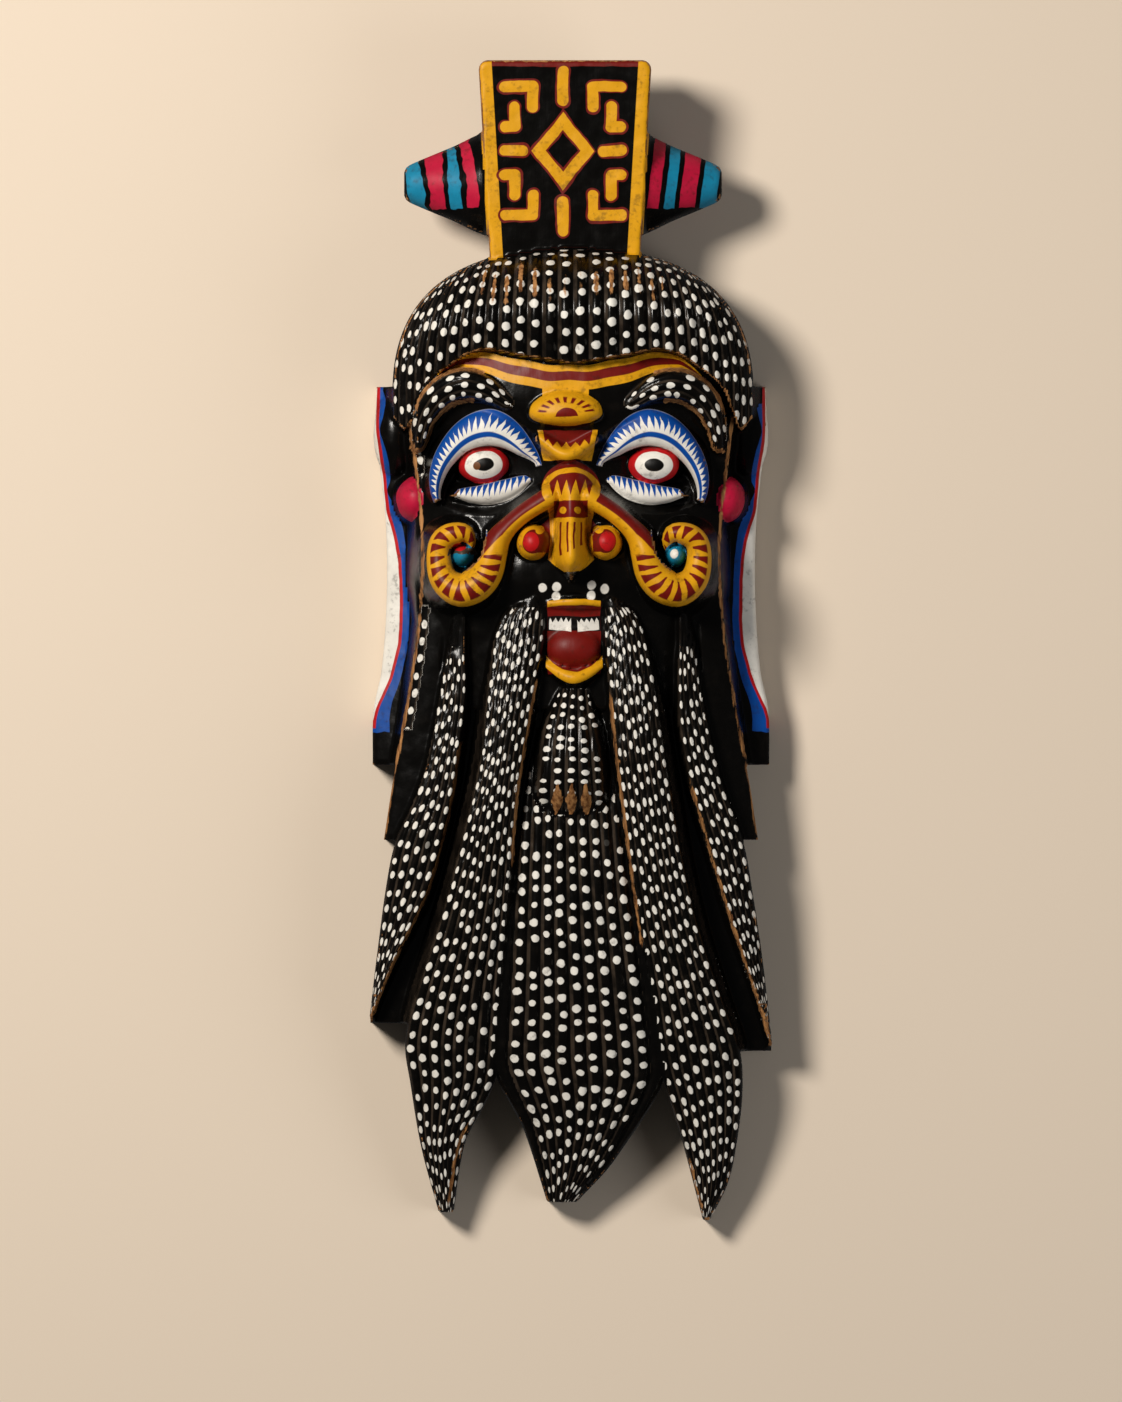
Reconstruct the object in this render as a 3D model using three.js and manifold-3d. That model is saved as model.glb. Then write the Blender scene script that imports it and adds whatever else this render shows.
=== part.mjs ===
// Bearded spirit mask of the nuo folk theatre, carved from one block of wood and hollowed behind.
// Millimetres. The mask lies on its flat back: +Z comes out of the face, +Y runs up to the crown and
// X to the viewer's right. The origin is on the back plane, at the middle of the mask's outline.
import * as THREE from "three";
import { mergeVertices } from "three/addons/utils/BufferGeometryUtils.js";
import Module from "manifold-3d";

const wasm = await Module();
wasm.setup();

// A smooth curve through a few [at, value] pairs, held level beyond its two ends.
function through(...pairs) {
  const knots = pairs.toSorted((a, b) => a[0] - b[0]);
  const last = knots.length - 1;
  const slope = knots.map((_, i) => {
    const [before, after] = [knots[Math.max(i - 1, 0)], knots[Math.min(i + 1, last)]];
    return (after[1] - before[1]) / (after[0] - before[0]);
  });
  return (at) => {
    if (at <= knots[0][0]) return knots[0][1];
    if (at >= knots[last][0]) return knots[last][1];
    const i = knots.findIndex((k) => k[0] > at) - 1;
    const span = knots[i + 1][0] - knots[i][0];
    const t = (at - knots[i][0]) / span;
    const rest = 1 - t;
    const bend = t * rest * span * (slope[i] * rest - slope[i + 1] * t);
    return knots[i][1] * rest * rest * (1 + 2 * t) + knots[i + 1][1] * t * t * (3 - 2 * t) + bend;
  };
}

// Driving dimensions. Crown, hair, face and mouth each keep a centre line of their own, as carved by eye.
const BACK = 0;
const SIDES = [-1, 1];
const CROWN = {
  axis: -3, top: 289.2, foot: 180, halfTop: 43.3, halfFoot: 36.9, front: 63, thickness: 36, tilt: 0.06,
  corner: 5, cornerSteps: 4, edge: 2.5, edgeSteps: 2,
};
const HAIRPIN = {
  axis: -4, y: 228.5, z: 37, halfLength: 79.5, shoulder: 36, radius: 26.5, endRadius: 10, round: 4, sides: 18,
};
const HAIR = {
  axis: 1, spring: 120, halfWidth: 90.5, rise: 76, fullness: 2.5, rim: 40, roundness: 0.45,
  ridges: 30, sideSpread: 0.93, groove: 2.6, grooveFade: 3, rows: 5, apex: 0.2,
  hairline: through(
    [0, 137.5], [28, 142], [42, 144.5], [51, 143], [59, 138.5], [75, 125], [83, 106], [90.5, 112],
  ),
  profile: through([106, 84], [137, 92], [160, 100], [178, 95], [190, 82], [197, 64]),
};
const FACE = {
  axis: -1, top: 150, foot: -34, halfWidth: 76, fall: 25, curve: 2.4, columns: 14, rows: 12,
  height: through([150, 80], [122, 83], [95, 76], [60, 75], [30, 77], [14, 70], [-10, 66], [-34, 64]),
};
const SOCKET = { x: 42, y: 87, rx: 34, ry: 25, depth: 11 };

// Rounded knobs: the middle and the three half-sizes of each. Those on the sides are mirrored.
const EYE = { x: 42.3, y: 87.5, z: 62, rx: 13, ry: 10, rz: 12 };
const EAR = { x: 88, y: 103, z: 24, rx: 11, ry: 22, rz: 15 };
const LOBE = { x: 77.5, y: 70.5, z: 41, rx: 8.7, ry: 10.5, rz: 12 };
const NOSTRIL = { x: 18, y: 48.5, z: 78, rx: 8, ry: 8.7, rz: 12 };
const PEARL = { x: 53, y: 42.3, z: 66, rx: 5, ry: 5.4, rz: 14 };
const BROW_JEWEL = { x: -2.75, y: 115.2, z: 82, rx: 18.3, ry: 8.8, rz: 9.5 };
const LOWER_LIP = { x: 1.5, y: -4, z: 66, rx: 13.5, ry: 10, rz: 8 };
const KNOB_FACETS = { columns: 10, rows: 6 };

// The two hollows carved into the back, behind the face and behind the beard.
const HOLLOW = { x: 0, y: 62, z: BACK, rx: 70, ry: 118, rz: 62 };
const TROUGH = { x: 0, y: -88, z: BACK, rx: 52, ry: 130, rz: 50 };
const HOLLOW_FACETS = { columns: 16, rows: 8 };

const TEETH = { x: 1.5, y: 8, z: 66, width: 24, height: 7, depth: 8 };

// The nose ridge, from the bulb between the eyes to the tip.
const NOSE = {
  axis: 0, top: 88, foot: 31, rows: 11, points: 8, base: 66, fullness: 0.8,
  halfWidth: through(
    [88, 9], [84, 12.5], [77, 14.5], [71, 11.5], [66, 10], [58, 9.3], [50, 9.3],
    [43, 10.5], [38, 9.8], [34, 6], [31, 3],
  ),
  height: through(
    [88, 82], [83, 88], [77, 92], [70, 93], [62, 95], [50, 101], [43, 103], [38, 102], [34, 96], [31, 88],
  ),
};

// Rounded ridges of the face. Each is a row of points: x, y, z, the half-width there and the height above z.
// The ridges of a pair are mirrored about the face's axis.
const PAIRED_RIDGES = {
  brow: [
    [76, 98, 62, 4, 5], [72.5, 111, 69, 5.5, 6], [64.5, 122, 75, 7, 7.5],
    [53.5, 127, 79, 7.5, 8], [42, 125, 80, 6.5, 7], [31, 118, 78, 4, 5],
  ],
  upperLid: [
    [66.2, 71, 60, 2, 6.5], [65, 84, 63, 4.4, 6.5], [59.7, 94, 67, 6, 6.5], [45.4, 105.2, 72, 8.4, 6.5],
    [37.8, 105.7, 72, 8.9, 6.5], [23.2, 96.6, 70, 5, 6.5], [15.4, 88.1, 66, 1.6, 6.5],
  ],
  lowerLid: [
    [19.5, 79.8, 66, 1, 5.5], [23.5, 78, 66, 4, 5.5], [29.5, 75.3, 66, 5.2, 5.5],
    [39.5, 72.9, 66, 5.2, 5.5], [49.5, 72.3, 66, 3.6, 5.5], [56.5, 72.2, 66, 1.2, 5.5],
  ],
  // The trunk that runs from the nose bulb down the cheek and curls up into a scroll.
  trunk: [
    [10, 71, 84, 5, 6], [22.5, 63, 82, 4.6, 7], [30, 56.5, 81, 4.9, 8], [35, 50.5, 80, 6, 9],
    [38.2, 43, 80, 7.4, 10], [41.5, 33, 79, 8.2, 10.5], [47.3, 26.9, 79, 8.6, 11], [55, 25, 78, 8.3, 10.5],
    [62.5, 30.5, 76, 6.3, 9], [65, 41.5, 74, 4.6, 7.5], [63.5, 49, 75, 5, 7.5], [58.9, 52.5, 77, 5.4, 7.5],
    [52, 52.8, 77, 4.6, 7], [48.8, 49, 76.5, 2.6, 4.5], [48.7, 45.5, 76, 1.2, 2],
  ],
};
const SINGLE_RIDGES = {
  beastLip: [[-15, 100, 80, 3, 5], [-2, 92, 84, 3.5, 6], [11, 100, 80, 3, 5]],
  upperLip: [[-12, 18, 70, 2, 4], [1.5, 19, 73, 3, 5], [15, 18, 70, 2, 4]],
  chinLip: [[-12, -13, 64, 3, 5], [1.5, -19, 69, 4, 6], [15, -13, 64, 3, 5]],
};
const RIDGE_STEP = 8;
const RIDGE_SIDES = 8;

// Locks of the beard, from the top downward. `left` and `right` are the edges seen from the front, `crest`
// the height of the highest line, which lies at `ridge` of the width, and `drop` how far each edge falls
// below it. Over the length `plain` at the top the strands fade in.
const LONG_CREST = through([25, 74], [-40, 80], [-90, 77], [-140, 68], [-190, 56], [-240, 40], [-290, 22]);
const OUTER_CREST = through([24, 64], [2, 65], [-60, 64], [-120, 57], [-160, 48], [-202, 36]);
const LOCKS = {
  leftLong: {
    top: 25, foot: -287, strands: 8, rows: 12, ridge: 0.55, drop: [7, 5], crest: LONG_CREST,
    left: through(
      [25, -20], [12, -35], [-20, -41], [-60, -45.5], [-100, -54.5], [-140, -65.5],
      [-180, -78.5], [-202, -83], [-222, -80.5], [-255, -75], [-287, -66.5],
    ),
    right: through(
      [25, -12.5], [0, -13.5], [-30, -19], [-80, -27], [-130, -30.5], [-180, -34],
      [-216, -37], [-232, -43], [-252, -53], [-287, -59],
    ),
  },
  rightLong: {
    top: 25, foot: -291, strands: 8, rows: 12, ridge: 0.45, drop: [5, 7], crest: LONG_CREST,
    left: through(
      [25, 13.5], [0, 16.5], [-60, 23], [-100, 28], [-140, 33.5], [-180, 39.5],
      [-210, 43.5], [-232, 50], [-252, 56], [-290, 66],
    ),
    right: through(
      [25, 20.5], [12, 33.5], [-20, 41.5], [-60, 47.5], [-100, 54], [-140, 63],
      [-180, 76], [-205, 84.5], [-225, 86], [-250, 83.5], [-272, 79], [-290, 70.5],
    ),
  },
  leftOuter: {
    top: 24, foot: -189, strands: 5, rows: 10, ridge: 1, drop: [10, 0], crest: OUTER_CREST, plain: 26,
    left: through(
      [24, -60], [2, -61], [-20, -65], [-60, -72], [-80, -78.5], [-100, -87.5], [-120, -92],
      [-160, -97.5], [-189, -101],
    ),
    right: through(
      [24, -53], [0, -53], [-30, -52.5], [-60, -56.5], [-80, -59.5], [-120, -69.5], [-140, -78],
      [-160, -88], [-189, -100],
    ),
  },
  rightOuter: {
    top: 24, foot: -202, strands: 5, rows: 10, ridge: 0, drop: [0, 10], crest: OUTER_CREST, plain: 26,
    left: through(
      [24, 54.5], [2, 54], [-30, 53.5], [-50, 55.5], [-70, 59.5], [-100, 68], [-140, 80],
      [-180, 93.5], [-202, 100],
    ),
    right: through(
      [24, 58.5], [2, 61.5], [-30, 66.5], [-70, 75.5], [-100, 86], [-130, 91.5], [-160, 96], [-202, 101],
    ),
  },
  middle: {
    top: -18, foot: -282, strands: 11, rows: 11, ridge: 0.5, drop: [8, 8],
    left: through(
      [-18, -18], [-70, -29], [-130, -34], [-180, -37.5], [-212, -39.5], [-222, -36],
      [-232, -30.5], [-246, -23.5], [-282, -12],
    ),
    right: through(
      [-18, 20], [-70, 29], [-130, 36], [-180, 43.5], [-214, 47.5], [-224, 45],
      [-240, 36], [-252, 28], [-266, 18], [-282, 3],
    ),
    crest: through([-18, 62], [-80, 68], [-130, 67], [-180, 60], [-230, 46], [-282, 24]),
  },
  goatee: {
    top: -22, foot: -92, strands: 5, rows: 7, ridge: 0.5, drop: [10, 10],
    left: through([-22, -7], [-35, -11], [-50, -15], [-92, -19]),
    right: through([-22, 10], [-35, 12.5], [-50, 15.5], [-92, 19.5]),
    crest: through([-22, 70], [-40, 79], [-62, 83], [-76, 79.5], [-92, 62]),
  },
};
const STRAND_GROOVE = 2.2;

// Plain terraces beside and behind the locks: side panels, ear lappets and the wings under the outer locks.
const PANEL = {
  top: 112, foot: -100, strands: 1, rows: 8, ridge: 0, drop: [0, 4], groove: 0,
  left: through([112, 58], [-100, 70]),
  right: through(
    [112, 81], [70, 75.7], [45, 74], [20, 75], [-5, 77.5], [-30, 81.5], [-70, 89], [-100, 93.7],
  ),
  crest: through([112, 58], [60, 52], [0, 52], [-100, 43]),
};
const LAPPET = {
  top: 127, foot: -62.5, strands: 1, rows: 9, ridge: 0, drop: [0, 7], groove: 0,
  left: () => 66,
  right: through(
    [127, 97.5], [105, 98], [80, 95], [55, 92.7], [20, 92.5], [-15, 95], [-35, 99], [-62.5, 99.5],
  ),
  crest: () => 32,
};
const WING = {
  top: 8, strands: 1, rows: 9, ridge: 0.5, drop: [3, 3], groove: 0,
  crest: through([8, 57], [-60, 50], [-120, 42], [-206, 25]),
};
const WING_FOOT = { left: -192, right: -206 };
const WING_OVERLAP = 9;
const WING_INSET = 0.4;

// Points closer than this are one, and a span is never taken as less than this.
const TINY = 1e-4;

const between = (low, high, share) => low + (high - low) * share;
const fadeIn = (value, low, high) => THREE.MathUtils.smoothstep(value, low, Math.max(high, low + TINY));
const shares = (count) => Array.from({ length: count + 1 }, (_, i) => i / count);

// A closed three.js geometry as a solid that can be joined and cut, turned face-out.
function solid(geometry) {
  const bare = geometry.clone();
  bare.deleteAttribute("normal");
  bare.deleteAttribute("uv");
  const merged = mergeVertices(bare, TINY);
  const vertProperties = new Float32Array(merged.attributes.position.array);
  const triVerts = new Uint32Array(merged.index.array);
  const made = new wasm.Manifold(new wasm.Mesh({ numProp: 3, vertProperties, triVerts }));
  if (made.volume() > 0) return made;
  const turned = triVerts.map((_, i) => triVerts[i - (i % 3) + ((3 - (i % 3)) % 3)]);
  return new wasm.Manifold(new wasm.Mesh({ numProp: 3, vertProperties, triVerts: turned }));
}

// The triangles that close a ring of any shape, in the ring's own direction, seen in one of the main planes.
const closedIn = (u, v) => (ring) => {
  const outline = ring.map((p) => new THREE.Vector2(p[u], p[v]));
  const way = Math.sign(THREE.ShapeUtils.area(outline));
  return THREE.ShapeUtils.triangulateShape(outline, []).map((corners) => {
    const area = THREE.ShapeUtils.area(corners.map((i) => outline[i]));
    return Math.sign(area) === way ? corners : corners.toReversed();
  });
};

// The triangles that close a ring with no inward bends, which may face any way.
const fanned = (ring) => ring.slice(2).map((_, i) => [0, i + 1, i + 2]);

// A skin stretched over a row of rings that have equal numbers of points, with both end rings closed.
function skin(rings, closed) {
  const count = rings[0].length;
  const last = (rings.length - 1) * count;
  const faces = [];
  for (let r = 0; r < last; r += count) {
    for (let i = 0; i < count; i++) {
      const next = (i + 1) % count;
      faces.push([r + i, r + next, r + count + next], [r + i, r + count + next, r + count + i]);
    }
  }
  for (const [a, b, c] of closed(rings[0])) faces.push([c, b, a]);
  for (const [a, b, c] of closed(rings.at(-1))) faces.push([last + a, last + b, last + c]);
  const geometry = new THREE.BufferGeometry();
  geometry.setAttribute("position", new THREE.Float32BufferAttribute(rings.flat(2), 3));
  geometry.setIndex(faces.flat());
  return solid(geometry);
}

// A lock, panel or lappet: sections across the mask, ridged where strands are cut, down to the flat back.
function lock(form) {
  const { top, foot, strands, rows, left, right, crest, ridge, drop } = form;
  const { groove = STRAND_GROOVE, plain = 0 } = form;
  const rings = shares(rows).map((share) => {
    const y = between(top, foot, share);
    const depth = groove * fadeIn(top - y, plain / 2, plain);
    const front = shares(2 * strands).map((s, i) => {
      const before = Math.max(1 - s / Math.max(ridge, TINY), 0);
      const after = Math.max((s - ridge) / Math.max(1 - ridge, TINY), 0);
      const fall = drop[0] * before ** 2 + drop[1] * after ** 2;
      const cut = i % 2 ? 0 : depth;
      return [between(left(y), right(y), s), y, crest(y) - fall - cut];
    });
    return [...front, [right(y), y, BACK], [left(y), y, BACK]];
  });
  return skin(rings, closedIn(0, 2));
}

// The same piece on the other side of the mask.
function mirrored({ left, right, ridge, drop, ...rest }) {
  const edges = { left: (y) => -right(y), right: (y) => -left(y) };
  return { ...rest, ...edges, ridge: 1 - ridge, drop: drop.toReversed() };
}

// The wing behind an outer lock, from the outline in to the long lock that overlaps it.
function wing(outer, long, foot, side) {
  const edges = side < 0
    ? { left: (y) => outer.left(y) + WING_INSET, right: (y) => long.left(y) + WING_OVERLAP }
    : { left: (y) => long.right(y) - WING_OVERLAP, right: (y) => outer.right(y) - WING_INSET };
  return lock({ ...WING, ...edges, foot });
}

// A rounded ridge along a row of points. Its sections stand square to its line, as seen from the front.
function ridge(row, mirror = 1, axis = 0) {
  const run = [0];
  row.slice(1).forEach(([x, y], i) => run.push(run[i] + Math.hypot(x - row[i][0], y - row[i][1])));
  const curves = row[0].map((_, k) => through(...row.map((point, i) => [run[i], point[k]])));
  const length = run.at(-1);
  const rings = shares(Math.ceil(length / RIDGE_STEP)).map((share) => {
    const at = share * length;
    const [x, y, z, half, height] = curves.map((curve) => curve(at));
    const [stepX, stepY] = curves.slice(0, 2).map((curve) => curve(at + TINY) - curve(at - TINY));
    const along = new THREE.Vector2(stepX, stepY).normalize();
    return shares(RIDGE_SIDES).slice(1).map((turn) => {
      const angle = 2 * Math.PI * turn;
      const across = half * Math.cos(angle);
      return [axis + mirror * (x - along.y * across), y + along.x * across, z + height * Math.sin(angle)];
    });
  });
  return skin(rings, fanned);
}

// A rounded knob: an ellipsoid at its place.
function knob({ x, y, z, rx, ry, rz }, { columns, rows } = KNOB_FACETS) {
  const geometry = new THREE.SphereGeometry(1, columns, rows);
  geometry.rotateX(Math.PI / 2);
  geometry.scale(rx, ry, rz);
  geometry.translate(x, y, z);
  return solid(geometry);
}

const onSide = (at, side, axis = 0) => ({ ...at, x: axis + side * at.x });

// The upright crown board, wider at its top, with rounded corners and edges.
function crownBoard() {
  const { axis, top, foot, halfTop, halfFoot, front, thickness, tilt } = CROWN;
  const { corner, cornerSteps, edge, edgeSteps } = CROWN;
  const height = top - foot;
  const outline = new THREE.Shape();
  outline.moveTo(-halfFoot, 0);
  outline.lineTo(halfFoot, 0);
  outline.lineTo(halfTop, height - corner);
  outline.quadraticCurveTo(halfTop, height, halfTop - corner, height);
  outline.lineTo(corner - halfTop, height);
  outline.quadraticCurveTo(-halfTop, height, -halfTop, height - corner);
  const geometry = new THREE.ExtrudeGeometry(outline, {
    depth: thickness - 2 * edge,
    bevelThickness: edge,
    bevelSize: edge,
    bevelOffset: -edge,
    bevelSegments: edgeSteps,
    curveSegments: cornerSteps,
  });
  geometry.translate(0, 0, edge - thickness);
  geometry.rotateX(tilt);
  geometry.translate(axis, foot, front);
  return solid(geometry);
}

// The hairpin that passes behind the crown board: a spindle with blunt round ends.
function hairpin() {
  const { axis, y, z, halfLength, shoulder, radius, endRadius, round, sides } = HAIRPIN;
  const half = [[endRadius - round, halfLength], [endRadius, halfLength - round], [radius, shoulder]];
  const profile = [[0, halfLength], ...half, ...half.toReversed().map(([r, x]) => [r, -x]), [0, -halfLength]];
  const geometry = new THREE.LatheGeometry(profile.map(([r, x]) => new THREE.Vector2(r, x)), sides);
  geometry.rotateZ(Math.PI / 2);
  geometry.translate(axis, y, z);
  return solid(geometry);
}

// The roll of combed hair. Each ridge climbs from the hairline, over the roll, to the outline of the head.
function hair() {
  const { axis, spring, halfWidth, rise, fullness, rim, roundness, hairline, profile } = HAIR;
  const { ridges, sideSpread, groove, grooveFade, rows, apex } = HAIR;
  const outline = (y) => halfWidth * (1 - Math.max((y - spring) / rise, 0) ** fullness) ** (1 / fullness);
  const combed = (a, y) => a * between(halfWidth, outline(y), a * a);
  const horizon = (a) => {
    const share = Math.abs(a) < 1 ? (Math.abs(a) * (1 - a * a)) / (1 - Math.abs(a) ** 3) : 2 / 3;
    const width = Math.max(share, apex);
    return spring + rise * (1 - width ** fullness) ** (1 / fullness);
  };
  const rings = shares(2 * ridges).map((share, i) => {
    const a = Math.sin(Math.asin(sideSpread) * (2 * share - 1)) / sideSpread;
    const [low, high] = [hairline(Math.abs(a) * halfWidth), horizon(a)];
    const front = shares(rows).map((t) => {
      const y = between(low, high, t);
      const x = combed(a, y);
      const swell = Math.max(1 - (x / outline(y)) ** 2, 0) ** roundness;
      const cut = i % 2 ? 0 : groove * Math.min(1, grooveFade * swell);
      return [axis + x, y, between(rim, profile(y), swell) - cut];
    });
    const [lowEnd, highEnd] = [front[0], front.at(-1)];
    return [...front, [highEnd[0], highEnd[1], BACK], [lowEnd[0], lowEnd[1], BACK]];
  });
  return skin(rings, closedIn(1, 2));
}

// The face behind its features: rounded to the sides, with a hollow round each eye.
function face() {
  const { axis, top, foot, halfWidth, fall, curve, columns, rows, height } = FACE;
  const rings = shares(rows).map((share) => {
    const y = between(top, foot, share);
    const front = shares(columns).map((s) => {
      const x = between(-halfWidth, halfWidth, s);
      const q = ((Math.abs(x) - SOCKET.x) / SOCKET.rx) ** 2 + ((y - SOCKET.y) / SOCKET.ry) ** 2;
      const sunk = SOCKET.depth * Math.max(1 - q, 0);
      return [axis + x, y, height(y) - fall * Math.abs(x / halfWidth) ** curve - sunk];
    });
    return [...front, [axis + halfWidth, y, BACK], [axis - halfWidth, y, BACK]];
  });
  return skin(rings, closedIn(0, 2));
}

function nose() {
  const { axis, top, foot, rows, points, base, fullness, halfWidth, height } = NOSE;
  const rings = shares(rows).map((share) => {
    const y = between(top, foot, share);
    return shares(points).map((s) => {
      const angle = Math.PI * s;
      const bulge = Math.max(Math.sin(angle), 0) ** fullness;
      return [axis + halfWidth(y) * Math.cos(angle), y, between(base, height(y), bulge)];
    });
  });
  return skin(rings, closedIn(0, 2));
}

function teeth() {
  const { x, y, z, width, height, depth } = TEETH;
  const geometry = new THREE.BoxGeometry(width, height, depth);
  geometry.translate(x, y, z);
  return solid(geometry);
}

function mask() {
  const { leftLong, rightLong, leftOuter, rightOuter } = LOCKS;
  const forms = [
    crownBoard(), hairpin(), hair(), face(), nose(), teeth(),
    knob(BROW_JEWEL), knob(LOWER_LIP),
    ...Object.values(SINGLE_RIDGES).map((row) => ridge(row)),
    ...Object.values(LOCKS).map(lock),
    wing(leftOuter, leftLong, WING_FOOT.left, -1),
    wing(rightOuter, rightLong, WING_FOOT.right, 1),
    lock(PANEL), lock(mirrored(PANEL)),
    lock(LAPPET), lock(mirrored(LAPPET)),
  ];
  for (const side of SIDES) {
    forms.push(
      knob(onSide(EYE, side, FACE.axis)),
      knob(onSide(EAR, side)),
      knob(onSide(LOBE, side)),
      knob(onSide(NOSTRIL, side, FACE.axis)),
      knob(onSide(PEARL, side, FACE.axis)),
      ...Object.values(PAIRED_RIDGES).map((row) => ridge(row, side, FACE.axis)),
    );
  }
  const block = forms.reduce((whole, form) => whole.add(form));
  const hollows = [HOLLOW, TROUGH].map((hollow) => knob(hollow, HOLLOW_FACETS));
  return hollows.reduce((rest, hollow) => rest.subtract(hollow), block);
}

// A joined solid as a three.js geometry.
function geometryOf(made) {
  const { vertProperties, triVerts } = made.getMesh();
  const geometry = new THREE.BufferGeometry();
  geometry.setAttribute("position", new THREE.BufferAttribute(vertProperties, 3));
  geometry.setIndex(new THREE.BufferAttribute(triVerts, 1));
  return geometry;
}

const blackLacquer = new THREE.MeshStandardMaterial({ color: 0x16130f, roughness: 0.42, metalness: 0 });
const carving = new THREE.Mesh(geometryOf(mask()), blackLacquer);
carving.name = "mask";

const part = new THREE.Group();
part.add(carving);
export default part;
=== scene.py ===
"""Looks of a bearded nuo mask: one carved and painted piece of wood on a pale floor, in soft light."""

import math
from dataclasses import dataclass, replace

import bpy
import numpy as np
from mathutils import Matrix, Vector
from mathutils.geometry import delaunay_2d_cdt


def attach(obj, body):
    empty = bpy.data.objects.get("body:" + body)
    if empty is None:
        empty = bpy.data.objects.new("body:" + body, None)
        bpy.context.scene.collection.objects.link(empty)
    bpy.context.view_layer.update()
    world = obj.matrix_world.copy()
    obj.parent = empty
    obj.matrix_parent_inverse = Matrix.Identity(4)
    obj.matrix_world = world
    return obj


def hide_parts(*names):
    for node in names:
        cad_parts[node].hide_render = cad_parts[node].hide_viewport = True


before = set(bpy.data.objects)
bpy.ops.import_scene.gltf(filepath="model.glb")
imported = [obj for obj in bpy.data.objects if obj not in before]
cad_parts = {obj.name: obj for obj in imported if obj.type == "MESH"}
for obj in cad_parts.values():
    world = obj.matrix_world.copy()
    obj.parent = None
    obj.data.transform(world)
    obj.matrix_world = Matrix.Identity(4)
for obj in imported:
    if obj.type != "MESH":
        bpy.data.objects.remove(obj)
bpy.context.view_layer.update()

# Sizes in millimetres, as in the solid part: X to the viewer's right, Y to the crown, Z out of the face.
METRE = 1000.0
TINY = 1e-6


# Curves and small sums


def through(*pairs):
    """A smooth curve through a few (at, value) pairs, held level beyond its two ends."""
    at, value = np.array(sorted(pairs), float).T
    order = np.arange(len(at))
    before = np.maximum(order - 1, 0)
    after = np.minimum(order + 1, len(at) - 1)
    slope = (value[after] - value[before]) / (at[after] - at[before])

    def curve(where):
        where = np.clip(where, at[0], at[-1])
        i = np.clip(np.searchsorted(at, where, side="right") - 1, 0, len(at) - 2)
        span = at[i + 1] - at[i]
        t = (where - at[i]) / span
        rest = 1 - t
        bend = t * rest * span * (slope[i] * rest - slope[i + 1] * t)
        return value[i] * rest**2 * (1 + 2 * t) + value[i + 1] * t**2 * (3 - 2 * t) + bend

    return curve


def between(low, high, share):
    return low + (high - low) * share


def rise(value, low, high):
    """0 below `low`, 1 above `high`, and a smooth climb between."""
    t = np.clip((value - low) / (high - low), 0, 1)
    return t * t * (3 - 2 * t)


def rounded(across):
    """Height of a half-round section: 1 on its middle line, 0 at across = 1 and beyond."""
    return np.sqrt(np.clip(1 - across**2, 0, 1))


def joined(a, b, soft):
    """The higher of two surfaces, with a fillet of about `soft` where they meet."""
    near = np.clip(soft - np.abs(a - b), 0, None)
    return np.maximum(a, b) + near**2 / (4 * max(soft, TINY))


def unevenness(x, y, size, seed):
    """Smooth random heights from -1 to 1, with humps about `size` apart."""
    cells = 64
    table = np.random.default_rng(seed).uniform(-1, 1, (cells, cells))
    u, v = x / size + cells, y / size + cells
    i, j = np.floor(u).astype(int), np.floor(v).astype(int)
    s, t = rise(u - i, 0, 1), rise(v - j, 0, 1)
    corner = [[table[(i + a) % cells, (j + b) % cells] for b in (0, 1)] for a in (0, 1)]
    return between(between(corner[0][0], corner[0][1], t), between(corner[1][0], corner[1][1], t), s)


def from_crest(lane):
    """0 on the middle line of a strand and 1 in the groove on either side of it."""
    return np.abs(2 * (lane % 1) - 1)


# Carved forms. Each gives, at any place, the height of its surface and how far inside its outline that is.

STEEP = 4.0
STRAND_GROOVE = 3.0


@dataclass
class Form:
    top: np.ndarray
    reach: np.ndarray
    under: np.ndarray | float = 0.0
    lane: np.ndarray | float = 0.0
    steep: float = STEEP

    def flanked(self):
        """The surface, going on outside its outline as a steep flank."""
        return self.top - self.steep * np.clip(-self.reach, 0, None)


@dataclass
class Lock:
    """A tapering band of strands between two edges seen from the front, highest along one line."""

    top: float
    foot: float
    left: object
    right: object
    crest: object
    strands: int = 1
    ridge: float = 0.5
    drop: tuple = (0, 0)
    groove: float = STRAND_GROOVE
    plain: float = 0.0

    def form(self, x, y):
        level = np.clip(y, self.foot, self.top)
        left, right = self.left(level), self.right(level)
        share = np.clip((x - left) / (right - left), 0, 1)
        before = np.clip(1 - share / max(self.ridge, TINY), 0, 1)
        after = np.clip((share - self.ridge) / max(1 - self.ridge, TINY), 0, 1)
        lane = np.clip(share * self.strands, 0, self.strands - TINY)
        grooved = rise(self.top - y, self.plain / 2, self.plain + TINY)
        cut = self.groove * from_crest(lane) ** 3 * grooved
        height = self.crest(level) - self.drop[0] * before**2 - self.drop[1] * after**2 - cut
        reach = np.minimum.reduce([x - left, right - x, y - self.foot, self.top - y])
        return Form(height, reach, lane=lane)


def mirrored(lock):
    """The same lock on the other side of the mask."""
    return replace(
        lock,
        left=lambda y: -lock.right(y),
        right=lambda y: -lock.left(y),
        ridge=1 - lock.ridge,
        drop=lock.drop[::-1],
    )


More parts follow.
